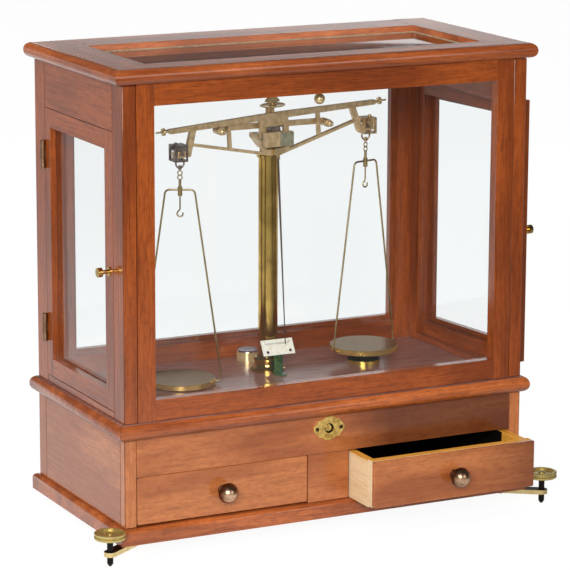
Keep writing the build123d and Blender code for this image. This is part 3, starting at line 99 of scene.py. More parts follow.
# ---- materials ----
def timber(name, light, dark, streak, figure_mm, polish, tone_share=0.7, fleck=0.4, mirror=0.15,
           painted_tint=("e8a646", "cb862c"), right_shade=(0.0, 1.0, 0.0), figured=0.45):
    """Sawn and polished wood whose grain follows each board's own "grain" attribute, in millimetres.
    The "finish" attribute holds a painted tint for shade and reflected light, painted black shade, and the darkening
    of each rounded edge.
    The right-hand darkening is (from x, to x, share): how much painted shade darkens the wood towards the right.
    figured is the strength of the stripes."""
    material, tree = blank(name)
    grain = add(tree, "ShaderNodeAttribute", attribute_name="grain")["Vector"]
    finish = add(tree, "ShaderNodeAttribute", attribute_name="finish")["Vector"]
    parts = add(tree, "ShaderNodeSeparateXYZ", {0: finish})
    # real pores are a third of a millimetre wide, drawn twice as wide so that they still show
    tone, mottle, figure, pores = [
        add(tree, "ShaderNodeTexNoise", {
            "Scale": 1.0, "Detail": detail, "Distortion": twist, "Roughness": rough,
            "Vector": add(tree, "ShaderNodeVectorMath", {0: grain, 1: [1 / size for size in sizes]},
                          operation="MULTIPLY")[0]})[0]
        for sizes, detail, twist, rough in (
            ((190, 34, 34), 2.0, 0.0, 0.5), ((9, 5, 5), 3.0, 0.6, 0.6),
            ((42, figure_mm, figure_mm), 5.0, 0.35, 0.6), ((16, 0.75, 0.75), 2.0, 0.0, 0.5))]
    colour = linear(light)
    for share, low, high, most, other in (
            (tone, 0.42, 0.60, tone_share, dark), (mottle, 0.44, 0.70, 0.4, dark),
            (figure, 0.42, 0.70, figured, streak), (pores, 0.56, 0.72, fleck, streak)):
        amount = add(tree, "ShaderNodeMapRange", {0: share, 1: low, 2: high, 4: most})[0]
        colour = add(tree, "ShaderNodeMix", {0: amount, 6: colour, 7: linear(other)}, data_type="RGBA")[2]
    # painted shade: the wood darkens towards the right, where less light falls
    across = add(tree, "ShaderNodeSeparateXYZ", {0: add(tree, "ShaderNodeTexCoord")["Object"]})[0]
    amount = add(tree, "ShaderNodeMapRange", {0: across, 1: right_shade[0], 2: right_shade[1], 4: right_shade[2]})[0]
    colour = add(tree, "ShaderNodeMix", {0: amount, 6: colour, 7: linear("421204")}, data_type="RGBA")[2]
    # the painted tint for shade and reflected light, varied with the figure
    gum = add(tree, "ShaderNodeMapRange", {0: figure, 1: 0.4, 2: 0.65})[0]
    gum = add(tree, "ShaderNodeMix", {0: gum, 6: linear(painted_tint[0]), 7: linear(painted_tint[1])},
              data_type="RGBA")[2]
    # finish X takes the painted tint, Y the painted black shade, Z the darkened rounded edges
    for share, other in (("X", gum), ("Y", linear("17110e")), ("Z", linear("2a0f05"))):
        colour = add(tree, "ShaderNodeMix", {0: parts[share], 6: colour, 7: other}, data_type="RGBA")[2]
    bump = add(tree, "ShaderNodeBump", {"Strength": 0.12, "Distance": 0.0002, "Height": pores}, invert=True)
    shader = add(tree, "ShaderNodeBsdfPrincipled", {
        "Base Color": colour, "Specular IOR Level": 0.06, "Normal": bump[0],
        "Roughness": add(tree, "ShaderNodeMapRange", {0: figure, 1: 0.3, 2: 0.7, 3: 0.4, 4: 0.55})[0],
        "Coat Weight": polish, "Coat Roughness": mirror, "Coat IOR": 1.5})
    add(tree, "ShaderNodeOutputMaterial", {0: shader[0]})
    return material


def metal(name, bright, tarnish, roughness, patch_mm, share=0.6, clean=1.0,
          zone=("Object", "X", 9.0, 10.0, "000000", 0.5)):
    """Turned or cast metal with patches of tarnish and a finely scratched surface.
    clean is below 1 where a matt oxide hides some of the metal. zone is (coordinate, axis, from, to,
    colour, roughness), in metres: the metal's look beyond it."""
    material, tree = blank(name)
    coordinates = add(tree, "ShaderNodeTexCoord")
    patches, scratches = [
        add(tree, "ShaderNodeTexNoise", {"Vector": coordinates["Object"], "Scale": 1 / (size * MM),
                                         "Detail": detail, "Distortion": 0.3})[0]
        for size, detail in ((patch_mm, 5.0), (0.9, 2.0))]
    amount = add(tree, "ShaderNodeMapRange", {0: patches, 1: 0.38, 2: 0.66, 4: share})[0]
    colour = add(tree, "ShaderNodeMix", {0: amount, 6: linear(bright), 7: linear(tarnish)}, data_type="RGBA")[2]
    along = add(tree, "ShaderNodeSeparateXYZ", {0: coordinates[zone[0]]})[zone[1]]
    beyond = add(tree, "ShaderNodeMapRange", {0: along, 1: zone[2], 2: zone[3]})[0]
    colour = add(tree, "ShaderNodeMix", {0: beyond, 6: colour, 7: linear(zone[4])}, data_type="RGBA")[2]
    dull = add(tree, "ShaderNodeMath", {0: patches, 1: 0.16, 2: roughness - 0.08}, operation="MULTIPLY_ADD")[0]
    dull = add(tree, "ShaderNodeMix", {0: beyond, 2: dull, 3: zone[5]}, data_type="FLOAT")
    bump = add(tree, "ShaderNodeBump", {"Strength": 0.03, "Distance": 0.0003, "Height": scratches})
    shader = add(tree, "ShaderNodeBsdfPrincipled", {"Metallic": clean, "Base Color": colour,
                                                    "Roughness": dull[0], "Normal": bump[0]})
    add(tree, "ShaderNodeOutputMaterial", {0: shader[0]})
    return material


def window_glass():
    """Thin old window glass, slightly wavy. It shows what is behind it unbent and mirrors at low angles."""
    material, tree = blank("drawn_window_glass")
    place = add(tree, "ShaderNodeTexCoord")["Object"]
    waves = add(tree, "ShaderNodeTexNoise", {"Vector": place, "Scale": 1 / (130 * MM), "Detail": 1.0})[0]
    bump = add(tree, "ShaderNodeBump", {"Strength": 0.05, "Distance": 0.002, "Height": waves})
    facing = add(tree, "ShaderNodeLayerWeight")["Facing"]
    glance = add(tree, "ShaderNodeMath", {0: facing, 1: 5.0}, operation="POWER")[0]
    share = add(tree, "ShaderNodeMapRange", {0: glance, 3: 0.02, 4: 0.9})[0]
    clear = add(tree, "ShaderNodeBsdfTransparent", {"Color": linear("fdfefe")})[0]
    mirror = add(tree, "ShaderNodeBsdfGlossy", {"Roughness": 0.02, "Color": linear("ffffff"), "Normal": bump[0]})[0]
    add(tree, "ShaderNodeOutputMaterial",
        {0: add(tree, "ShaderNodeMixShader", {0: share, 1: clear, 2: mirror})[0]})
    return material


def smooth_solid(name, pale, vein, vein_mm, roughness):
    """Ivory, agate, japanning or putty: an even solid with faint veins."""
    material, tree = blank(name)
    place = add(tree, "ShaderNodeTexCoord")["Object"]
    veins = add(tree, "ShaderNodeTexNoise", {"Vector": place, "Scale": 1 / (vein_mm * MM), "Detail": 3.0,
                                             "Distortion": 1.2})[0]
    amount = add(tree, "ShaderNodeMapRange", {0: veins, 1: 0.45, 2: 0.62})[0]
    colour = add(tree, "ShaderNodeMix", {0: amount, 6: linear(pale), 7: linear(vein)}, data_type="RGBA")[2]
    shader = add(tree, "ShaderNodeBsdfPrincipled", {
        "IOR": 1.54, "Coat Weight": 0.3, "Coat Roughness": 0.1, "Base Color": colour,
        "Roughness": add(tree, "ShaderNodeMapRange", {0: veins, 1: 0.3, 2: 0.7, 3: roughness,
                                                      4: roughness + 0.12})[0]})
    add(tree, "ShaderNodeOutputMaterial", {0: shader[0]})
    return material


# French polished mahogany, warm orange brown with darker streaks
CASE_WOOD = timber("french_polished_mahogany", "a9521c", "75310d", "340e03", 1.7, 1.0)
# the drawer case is a redder board of the same wood
BASE_WOOD = timber("red_mahogany", "ca7a44", "964a20", "5a240c", 3.0, 1.0, fleck=0.3, figured=0.28)
# its rail, with painted shade darkening it towards the right
RAIL_WOOD = timber("red_mahogany_shaded_right", "ca7a44", "964a20", "5a240c", 3.0, 1.0, fleck=0.3,
                   right_shade=(0.0, 0.07, 0.75), figured=0.28)
# the front of the open drawer, with painted shade darkening its far right end
FACE_WOOD = timber("red_mahogany_shaded_end", "ca7a44", "964a20", "5a240c", 3.0, 1.0, fleck=0.3,
                   right_shade=(0.14, 0.215, 0.6), figured=0.28)
# moulded boards, darker where old polish has built up
MOULDED_WOOD = timber("moulded_mahogany", "c86c36", "843c18", "421507", 2.2, 1.0)
# floor of the case under soft polish, its upper face tinted pale mauve: dust, and painted reflection of the bright
# surroundings
FLOOR_WOOD = timber("soft_polished_mahogany", "c86c36", "843c18", "421507", 2.4, 1.0, mirror=0.24,
                    painted_tint=("9c6e62", "7c4e42"))
# planed maple, cream, with a close pale figure and only a sealing coat; its upper edges and inside painted orange as
# shade and light reflected within the drawer
DRAWER_WOOD = timber("planed_maple", "f7e0ba", "e9c592", "d3a468", 3.0, 0.15, 0.4, 0.15)
# knobs turned from brass and bronzed, with painted shade making their sides and rims darker brown than the bright
# front face
BRONZED = metal("bronzed_brass", "dcb592", "845c42", 0.3, 6, 0.8, zone=("Normal", "Y", -0.9, -0.2, "5c3a24", 0.35))

# lacquered brass tube and sheet, still bright gold; the foot of the column painted paler as a highlight of the bright
# light it mirrors
LACQUERED = metal("lacquered_brass", "dfb864", "84622a", 0.17, 26, clean=0.97,
                  zone=("Object", "Z", 118 * MM, 112 * MM, "ffe9ac", 0.5))
# the beam's brass, gone dull and tan in the air
BEAM_BRASS = metal("dull_cast_brass", "dcbf94", "ab8b5e", 0.4, 5, 0.7, clean=0.6)
# brass handled often: yellow where rubbed, brown elsewhere
HANDLED = metal("handled_brass", "d6b871", "8f7440", 0.32, 7, 0.6, clean=0.9)
# the key plate, polished yellow with dark hollows
KEY_PLATE = metal("polished_key_plate", "f2cd74", "9a7230", 0.26, 4, 0.7, clean=0.8)
# spun brass of the pans: golden rims, brown and finely scratched faces
PAN_BRASS = metal("spun_brass", "f0c878", "bd9350", 0.26, 18, clean=0.8,
                  zone=("Normal", "Z", 0.75, 0.95, "94713f", 0.32))
# pan stops painted dark on top as the shadow and mirrored underside of the pan above, over a bright brass edge
STOP_BRASS = metal("brass_shaded_by_pan", "e6c260", "a88438", 0.2, 9, clean=0.85,
                   zone=("Normal", "Z", 0.5, 0.8, "0b120d", 0.75))
# hardened steel with a grey brown skin
STEEL = metal("browned_steel", "9a8c84", "5c4f4a", 0.34, 6)
# screws of the plates, dark brown steel
SCREW_STEEL = metal("dark_screw_steel", "5a4a3c", "2e241c", 0.4, 3)
# nickel silver plates at the bearing, greenish grey
NICKEL = metal("worn_nickel_silver", "b9b397", "7c755c", 0.34, 4, clean=0.7)
# bezel of the level, plated and bright
PLATED = metal("plated_bezel", "e9e4e6", "b7afb4", 0.16, 5, 0.4)
# the right-hand stirrup is rubbed brass with a reddish brown skin
RUBBED = metal("rubbed_brass", "e2c08a", "734c3e", 0.34, 4, 0.9, clean=0.85)
# the needle is the same steel, on a brass pad
NEEDLE = metal("browned_needle_steel", "857468", "574b46", 0.34, 6,
               zone=("Object", "Z", 356 * MM, 359 * MM, "c9ad80", 0.4))
# nuts and the small turned parts over the beam, brighter where fingers turn them
TURNED = metal("turned_brass", "f0d59e", "b8965c", 0.24, 5, 0.5, clean=0.65)
# door knobs polished by hand, hinge leaves browned behind them
DOOR_BRASS = metal("door_brass", "d6b56a", "93743c", 0.26, 7, 0.5,
                   zone=("Object", "Y", 20 * MM, 60 * MM, "8a6a50", 0.45))
# brass wheels over blacked steel screws
FOOT_BRASS = metal("wheel_brass", "cfba78", "9c8448", 0.36, 8, 0.5, clean=0.75,
                   zone=("Object", "Z", 26 * MM, 25 * MM, "17120f", 0.4))
# the arms' upper faces painted dark as shade, their edges bright
ARM_BRASS = metal("brass_shaded_on_top", "e6cd94", "b89a5c", 0.34, 8, 0.5,
                  zone=("Normal", "Z", 0.6, 0.9, "3a2414", 0.5))
# brass wire gone brown, never polished
WIRE = metal("browned_brass_wire", "c4ac7a", "846f46", 0.34, 12)
# hinge brass browned under old polish
HINGE_BRASS = metal("browned_hinge_brass", "a08064", "6e4e38", 0.45, 8)
GLASS = window_glass()
AGATE = smooth_solid("ground_agate", "a89c92", "7a6a62", 3.0, 0.2)
IVORY = smooth_solid("scraped_ivory", "f1ecdd", "e6ddc6", 7.0, 0.35)
# spirit glass of the level, painted pale grey-lavender as a reflection of the bright sky, under a sky-bright surface
SPIRIT_GLASS = smooth_solid("spirit_glass", "8f8a92", "a5a0a8", 9.0, 0.05)
# green japanning, yellow where it is worn thin
JAPANNED = smooth_solid("green_japanning", "1d4424", "4d661c", 6.0, 0.18)
# linseed putty, dried and gone dull with dust
PUTTY = smooth_solid("linseed_putty", "a89d7e", "857a5f", 5.0, 0.6)
# inked lines, flat black
INK = smooth_solid("engravers_ink", "2a2622", "3a3530", 1.0, 0.6)

FINISHES = {
    "mahogany_base": BASE_WOOD, "mahogany_case": CASE_WOOD, "maple": DRAWER_WOOD, "turned_knob": BRONZED,
    "glass_pane": GLASS, "lacquered_brass": LACQUERED, "beam_brass": BEAM_BRASS, "old_brass": HANDLED,
    "pan_brass": PAN_BRASS, "steel": STEEL, "agate": AGATE, "ivory": IVORY,
}

SLOTS = {}
OWN = {"left_bow": WIRE, "right_bow": WIRE, "door_hinges": HINGE_BRASS, "pointer": NEEDLE,
       "gravity_nut": TURNED, "left_end_nut": TURNED, "right_end_nut": TURNED,
       "left_door_brass": DOOR_BRASS, "right_door_brass": DOOR_BRASS, "pan_stops": STOP_BRASS,
       "left_levelling_screw": FOOT_BRASS, "right_levelling_screw": FOOT_BRASS,
       "levelling_arms": ARM_BRASS, "catch_ball": TURNED, "right_stirrup": RUBBED, "scale_bracket": JAPANNED,
       "level_vial": SPIRIT_GLASS, "spirit_level": TURNED, "escutcheon": KEY_PLATE, "screws": SCREW_STEEL, "arrest_arbor": TURNED,
       "base_front_rail": RAIL_WOOD, "right_drawer_face": FACE_WOOD,
       "base_board": MOULDED_WOOD, "case_floor": FLOOR_WOOD, "cornice": MOULDED_WOOD,
       "sash_cornice": MOULDED_WOOD}
for name, part in NODES.items():
    for holder in part.material_slots:
        SLOTS[name] = holder.material.name.split(".")[0]
        holder.material = OWN.get(name, FINISHES[SLOTS[name]])


# ---- woodwork: boards sawn apart at their joints, each with its own grain and eased edges ----
def clear_of(node, axis):
    """Where the wood starts on each side of a pane along one axis, and a hair inside it."""
    low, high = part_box(node)
    return low.dot(AXES[axis]) + REBATE + HAIR, high.dot(AXES[axis]) - REBATE - HAIR


def shut_door():
    """Turns the right-hand door from where it stands to shut."""
    joint = JOINTS["right_door_swing"]
    pin, axis = Vector(joint["pos_m"]), Vector(joint["axis"])
    turn = Matrix.Rotation(radians(joint["range_deg"][0]), 4, axis)
    return Matrix.Translation(pin) @ turn @ Matrix.Translation(-pin)


def sawn(shell, axis, place):
    """Two closed boards from one, parted at a plane."""
    halves = []
    for side in (-1, 1):
        half = shell.copy()
        bmesh.ops.bisect_plane(half, geom=half.verts[:] + half.edges[:] + half.faces[:], dist=0.001 * MM,
                               plane_co=AXES[axis] * place, plane_no=AXES[axis] * side, clear_outer=True)
        bmesh.ops.holes_fill(half, edges=[edge for edge in half.edges if edge.is_boundary], sides=0)
        bmesh.ops.recalc_face_normals(half, faces=half.faces)
        halves.append(half)
    return halves


def ease_edges(board, joints, amount, gum):
    """Rounds a board's convex edges, and only just breaks those at its joints.
    Each rounded edge gets a darkness in a face layer: gum for old polish caught on it, and more at joints and where
    another piece closes up, for dirt in the joints and painted shade in the gaps."""
    edge_dark = board.faces.layers.float.new("edge_dark")

    def at_joint(edge):
        return any(all(abs(vert.co.dot(AXES[axis]) - place) < 0.01 * MM for vert in edge.verts)
                   for axis, place in joints)
    # edges at joints and tight planes are darkest: dirt in the joints and painted shade in the gaps
    for wanted, offset, share in ((True, 0.42, 0.9 if gum else 0.0), (False, amount, gum)):
        sharp = [edge for edge in board.edges if len(edge.link_faces) == 2 and at_joint(edge) == wanted
                 and edge.calc_face_angle_signed(0) > radians(35)]
        rounded = bmesh.ops.bevel(board, geom=sharp, offset=offset * MM, segments=2, profile=0.5,
                                  affect="EDGES", clamp_overlap=True)
        for face in rounded["faces"]:
            face[edge_dark] = share


def islands(shell):
    """Numbers the faces of each separate board in a shell."""
    number, count = {}, 0
    for face in shell.faces:
        if face in number:
            continue
        count += 1
        reached = [face]
        while reached:
            at = reached.pop()
            if at not in number:
                number[at] = count
                reached += [other for edge in at.edges for other in edge.link_faces if other not in number]
    return number


def untinted(face):
    """Painted tint and painted black shade on a face: none of either."""
    return 0, 0


def woodwork(node, runs, joints=(), shut=Matrix.Identity(4), ease=0.7, gum=0.5, surface=untinted, bands=(), tight=()):
    """Replaces a wooden node by its boards. runs(point) names the axis along the grain there.
    bands are planes where the surface changes without a joint, tight ones where another piece closes up."""
    whole = bmesh.new()
    whole.from_mesh(NODES[node].data)
    bmesh.ops.remove_doubles(whole, verts=whole.verts, dist=0.01 * MM)
    whole.transform(shut)
    bmesh.ops.dissolve_limit(whole, angle_limit=radians(1), verts=whole.verts, edges=whole.edges)
    boards = [whole]
    for axis, place in joints:
        boards = [part for board in boards for part in sawn(board, axis, place) if part.faces]
    mesh = bpy.data.meshes.new(f"eased_{node}")
    shell = bmesh.new()
    for board in boards:
        ease_edges(board, (*joints, *tight), ease, gum)
        board.to_mesh(mesh)
        shell.from_mesh(mesh)
    for axis, place in bands:
        bmesh.ops.bisect_plane(shell, geom=shell.verts[:] + shell.edges[:] + shell.faces[:], dist=0.001 * MM,
                               plane_co=AXES[axis] * place, plane_no=AXES[axis])
    number = islands(shell)
    layer = shell.loops.layers.float_vector.new("grain")
    finish = shell.loops.layers.float_vector.new("finish")
    edge_dark = shell.faces.layers.float["edge_dark"]
    for face in shell.faces:
        run = runs(face.calc_center_median())
        drift = random.Random(f"{node} {number[face]}")
        offset = Vector([drift.uniform(0, 3000) for _ in range(3)])
        order = {"x": (0, 1, 2), "y": (1, 0, 2), "z": (2, 0, 1)}[run]
        for corner in face.loops:
            place = corner.vert.co / MM
            corner[layer] = Vector([place[i] for i in order]) + offset
            corner[finish] = (*surface(face), face[edge_dark])
        # narrow facets are part of a round, the wide ones are flat
        face.smooth = face.calc_area() < 3 * MM * max(edge.calc_length() for edge in face.edges)
    for edge in shell.edges:
        edge.smooth = edge.calc_face_angle(0) < radians(50)
    shell.transform(shut.inverted())
    shell.to_mesh(mesh)
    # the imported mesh's own normals don't fit the eased one
    mesh.attributes.remove(mesh.attributes["custom_normal"])
    mesh.materials.append(NODES[node].material_slots[0].material)
    piece = bpy.data.objects.new(f"eased_{node}", mesh)
    bpy.context.scene.collection.objects.link(piece)
    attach(piece, NODES[node]["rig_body"])
    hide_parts(node)


def frame_runs(pane, axis, rail, stile):
    """Grain of a glazed frame, and the two planes where its rails meet its stiles."""
    low, high = clear_of(pane, axis)
    side = AXES[axis]
    return (lambda p: rail if low < p.dot(side) < high else stile), ((axis, low), (axis, high))


# each board's lowest edges are darkened as tight ones: dirt and painted shade where it sits down
for node, run in (("base_board", "x"), ("base_posts", "z"), ("base_sides", "y"), ("base_back", "x"),
                  ("drawer_divider", "x"), ("front_posts", "z"), ("rear_posts", "z"),
                  ("side_sills", "y"), ("side_friezes", "y"), ("sash_cornice", "x")):
    woodwork(node, lambda p, run=run: run, tight=(("z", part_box(node)[0].z),))
for node in ("left_drawer_face", "right_drawer_face"):
    woodwork(node, lambda p: "x", ease=0.9, gum=0.8)

low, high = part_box("escutcheon")
KEYHOLE = (low + high) / 2


def shaded_keyhole(face):
    """The keyhole's wall is painted black as the shade inside the hole."""
    at = face.calc_center_median()
    shaded_wall = abs(face.normal.y) < 0.5 and (at.x - KEYHOLE.x) ** 2 + (at.z - KEYHOLE.z) ** 2 < (5.5 * MM) ** 2
    return 0, shaded_wall


woodwork("base_front_rail", lambda p: "x", surface=shaded_keyhole)
# the case floor's upper face takes the pale mauve tint: dust, and painted reflection of the bright surroundings
woodwork("case_floor", lambda p: "x", surface=lambda face: (face.normal.z > 0.9, 0))

woodwork("sash_frame", *frame_runs("sash_glass", "x", "x", "z"), tight=(("z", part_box("sash_frame")[0].z),))
woodwork("back_frame", *frame_runs("back_glass", "x", "x", "z"), tight=(("z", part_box("back_frame")[0].z),))
woodwork("cornice", *frame_runs("top_glass", "x", "x", "y"), tight=(("z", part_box("cornice")[0].z),))
low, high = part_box("left_door_frame")
# the doors' edges against the case are darkened as tight ones: painted shade of the door gaps
DOOR_GAPS = (("y", low.y), ("y", high.y), ("z", low.z), ("z", high.z))
woodwork("left_door_frame", *frame_runs("left_door_glass", "y", "y", "z"), tight=DOOR_GAPS)
woodwork("right_door_frame", *frame_runs("left_door_glass", "y", "y", "z"), shut=shut_door(), tight=DOOR_GAPS)

# the drawer's inside is painted black as shade, all but the first 36 mm behind its front, which stays lit
SIDE_T, FRONT_T, LIT_DEPTH = 8.5 * MM, 9.0 * MM, 36 * MM
for node in ("left_drawer_box", "right_drawer_box"):
    low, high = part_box(node)
    x0, x1, front = low.x + SIDE_T, high.x - SIDE_T, low.y + FRONT_T + HAIR

    def drawer_shade(face, low=low, high=high, x0=x0, x1=x1, front=front):
        """A painted orange tint for shade and light reflected within the drawer on the upper edges and inside, and
        painted black shade over the bottom, the back and most of the sides.
        """
        at = face.calc_center_median()
        inside = x0 - HAIR < at.x < x1 + HAIR and front - 2 * HAIR < at.y < high.y - 5 * MM
        in_shade = face.normal.z > 0.5 or abs(face.normal.y) > 0.5 or at.y > front + LIT_DEPTH
        return inside or face.normal.z > 0.3, inside and in_shade and at.z < high.z - 3 * MM

    woodwork(node, lambda p: "y" if p.y > front and not x0 < p.x < x1 else "x", (("y", front),), ease=0.4,
             gum=0.0, surface=drawer_shade, bands=(("y", front + LIT_DEPTH),))


# ---- turned and cut brass ----
def piece(name, mesh, body, finish, slot):
    """A finished mesh as an object that rides a body."""
    if not mesh.materials:
        mesh.materials.append(finish)
    made = bpy.data.objects.new(name, mesh)
    bpy.context.scene.collection.objects.link(made)
    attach(made, body)


def turned(name, profile, foot, axis, body, finish, slot):
    """A piece from the lathe. profile lists (radius, height) in millimetres over foot, along axis."""
    shell = bmesh.new()
    rim = [shell.verts.new((radius, 0, height)) for radius, height in profile]
    edges = [shell.edges.new(pair) for pair in zip(rim, rim[1:])]
    bmesh.ops.spin(shell, geom=rim + edges, cent=(0, 0, 0), axis=(0, 0, 1), angle=2 * pi, steps=32)
    bmesh.ops.remove_doubles(shell, verts=shell.verts, dist=0.001)
    bmesh.ops.recalc_face_normals(shell, faces=shell.faces)
    for face in shell.faces:
        face.smooth = True
    for edge in shell.edges:
        edge.smooth = edge.calc_face_angle(0) < radians(40)
    turn = Vector(axis).to_track_quat("Z", "X").to_matrix().to_4x4()
    shell.transform(Matrix.Translation(foot) @ turn @ Matrix.Scale(MM, 4))
    mesh = bpy.data.meshes.new(name)
    shell.to_mesh(mesh)
    piece(name, mesh, body, finish, slot)


def cut_plate(name, low, high, chamfer, body, finish, slot):
    """A chamfered block between two corners in millimetres."""
    shell = bmesh.new()
    bmesh.ops.create_cube(shell, size=1)
    low, high = Vector(low) * MM, Vector(high) * MM
    shell.transform(Matrix.Translation((low + high) / 2) @ Matrix.Diagonal(high - low).to_4x4())
    bmesh.ops.bevel(shell, geom=shell.edges[:], offset=chamfer * MM, segments=1, affect="EDGES")
    mesh = bpy.data.meshes.new(name)
    shell.to_mesh(mesh)
    piece(name, mesh, body, finish, slot)


# cones on the ends of the two arrest rests
low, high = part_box("arrest_bar")
REST_R, REST_UP = 4 * MM, 18 * MM
for side, x in (("left", low.x + REST_R), ("right", high.x - REST_R)):
    turned(f"{side}_rest_cone",
           ((0, -0.5), (3.4, -0.5), (3.4, 0.8), (2.3, 1.2), (2.3, 3.6), (3.0, 4.0), (3.0, 4.8), (1.5, 5.6), (0, 10.0)),
           (x, low.y, high.z - REST_UP), (0, -1, 0), "lifter", BEAM_BRASS, "beam_brass")

# centre-drilled end of the arrest arbor
low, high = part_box("arrest_arbor")
turned("arbor_end", ((0, -0.2), (3.3, -0.2), (3.3, 0.3), (3.0, 0.6), (1.5, 0.6), (0, 0.05)),
       (KEYHOLE.x, low.y, KEYHOLE.z), (0, -1, 0), "arbor", KEY_PLATE, "old_brass")

# nickel cover plate over the right half of the bearing block's cheek, and a keeper at its left end
low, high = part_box("bearing_block")
x0, x1 = low.x / MM, high.x / MM
y, z = low.y / MM, high.z / MM
cut_plate("bearing_cover", (x1 - 17.5, y - 0.9, z - 14.2), (x1 - 2.6, y + 0.2, z - 0.2), 0.45, "case", NICKEL, "steel")
cut_plate("bearing_keeper", (x0 - 1.0, y + 9.0, z - 8.4), (x0 + 8.5, y + 12.0, z - 6.6), 0.3, "case", NICKEL, "steel")

# bezel of the spirit level
low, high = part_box("spirit_level")
turned("level_bezel", ((10.3, -0.3), (11.5, -0.3), (11.5, 1.2), (10.9, 1.9), (10.3, 1.2), (10.3, -0.3)),
       ((low.x + high.x) / 2, (low.y + high.y) / 2, high.z), (0, 0, 1), "case", PLATED, "old_brass")

# bead of putty round the top glass
low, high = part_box("top_glass")
bead = bmesh.new()
BEAD = 1.8 * MM
corners = [(side_x, side_y) for side_x, side_y in ((-1, -1), (1, -1), (1, 1), (-1, 1))]
centre = (low + high) / 2
rings = []
for inward, up in ((0, -HAIR), (BEAD, -HAIR), (0, BEAD)):
    half = (high - low) / 2 - Vector((REBATE + inward, REBATE + inward, 0))
    rings.append([bead.verts.new((centre.x + a * half.x, centre.y + b * half.y, high.z + up)) for a, b in corners])
for first, second in ((0, 1), (1, 2), (2, 0)):
    for i in range(4):
        j = (i + 1) % 4
        bead.faces.new((rings[first][i], rings[first][j], rings[second][j], rings[second][i]))
bmesh.ops.recalc_face_normals(bead, faces=bead.faces)
mesh = bpy.data.meshes.new("glazing_putty")
bead.to_mesh(mesh)
piece("glazing_putty", mesh, "case", PUTTY, "ivory")


# ---- what repeats: slotted screws and the lines of the scale ----
def growth(name, sockets):
    """A new geometry tree with named inputs, and the outputs of its group input."""
    tree = bpy.data.node_groups.new(name, "GeometryNodeTree")
    tree.interface.new_socket("Geometry", in_out="INPUT", socket_type="NodeSocketGeometry")
    for label, kind in sockets.items():
        tree.interface.new_socket(label, in_out="INPUT", socket_type=f"NodeSocket{kind}")
    tree.interface.new_socket("Geometry", in_out="OUTPUT", socket_type="NodeSocketGeometry")
    return tree, add(tree, "NodeGroupInput")


def close(tree, instances, material):
    """Ends a tree: real geometry in its material."""
    real = add(tree, "GeometryNodeRealizeInstances", {0: instances})[0]
    painted = add(tree, "GeometryNodeSetMaterial", {"Geometry": real, "Material": material})[0]
    add(tree, "NodeGroupOutput", {0: painted})


def grown(name, mesh, tree, values):
    """The plain mesh that a tree grows from a mesh."""
    carrier = bpy.data.objects.new(name, mesh)
    bpy.context.scene.collection.objects.link(carrier)
    modifier = carrier.modifiers.new(name, "NODES")
    modifier.node_group = tree
    for item in tree.interface.items_tree:
        if item.in_out == "INPUT" and item.name in values:
            modifier[item.identifier] = values[item.name]
    evaluated = carrier.evaluated_get(bpy.context.evaluated_depsgraph_get())
    plain = bpy.data.meshes.new_from_object(evaluated)
    bpy.data.objects.remove(carrier)
    return plain


def slotted_heads():
    """Screw heads with a sawn slot, on points with the attributes "facing" and "size" in metres."""
    tree, given = growth("slotted_heads", {"Slot Width": "Float", "Slot Depth": "Float", "Height": "Float",
                                           "Seed": "Int", "Material": "Material"})
    head = add(tree, "GeometryNodeMeshCone", {"Vertices": 24, "Radius Top": 0.86, "Radius Bottom": 1.0,
                                              "Depth": given["Height"]})[0]
    slot = add(tree, "ShaderNodeCombineXYZ", {0: 3.0, 1: given["Slot Width"], 2: 1.0})[0]
    rise = add(tree, "ShaderNodeMath", {0: given["Height"], 1: given["Slot Depth"]}, operation="SUBTRACT")[0]
    rise = add(tree, "ShaderNodeMath", {0: rise, 1: 0.5}, operation="ADD")[0]
    saw = add(tree, "GeometryNodeTransform", {
        "Geometry": add(tree, "GeometryNodeMeshCube", {"Size": slot})[0],
        "Translation": add(tree, "ShaderNodeCombineXYZ", {2: rise})[0]})[0]
    sawn_head = add(tree, "GeometryNodeMeshBoolean", {0: head, 1: saw}, operation="DIFFERENCE", solver="EXACT")[0]
    facing = add(tree, "GeometryNodeInputNamedAttribute", {"Name": "facing"}, data_type="FLOAT_VECTOR")[0]
    size = add(tree, "GeometryNodeInputNamedAttribute", {"Name": "size"}, data_type="FLOAT")[0]
    angle = add(tree, "FunctionNodeRandomValue", {2: 0.0, 3: pi, "Seed": given["Seed"]}, data_type="FLOAT")[1]
    spin = add(tree, "FunctionNodeAxisAngleToRotation", {"Axis": (0, 0, 1), "Angle": angle})[0]
    aimed = add(tree, "FunctionNodeAlignRotationToVector", {"Vector": facing}, axis="Z")[0]
    turn = add(tree, "FunctionNodeRotateRotation", {0: aimed, 1: spin}, rotation_space="LOCAL")[0]
    heads = add(tree, "GeometryNodeInstanceOnPoints", {"Points": given[0], "Instance": sawn_head,
                                                       "Rotation": turn, "Scale": size})[0]
    close(tree, heads, given["Material"])
    return tree


SLOTTED = slotted_heads()


def screws(name, spots, body, finish, slot):
    """Slotted heads at spots: (place in metres, facing, radius in millimetres)."""
    mesh = bpy.data.meshes.new(name)
    mesh.from_pydata([place for place, facing, radius in spots], [], [])
    mesh.attributes.new("facing", "FLOAT_VECTOR", "POINT").data.foreach_set(
        "vector", [number for place, facing, radius in spots for number in facing])
    mesh.attributes.new("size", "FLOAT", "POINT").data.foreach_set(
        "value", [radius * MM for place, facing, radius in spots])
    piece(name, grown(name, mesh, SLOTTED, {"Slot Width": 0.34, "Slot Depth": 0.22, "Height": 0.26, "Seed": 4,
                                            "Material": finish}), body, finish, slot)


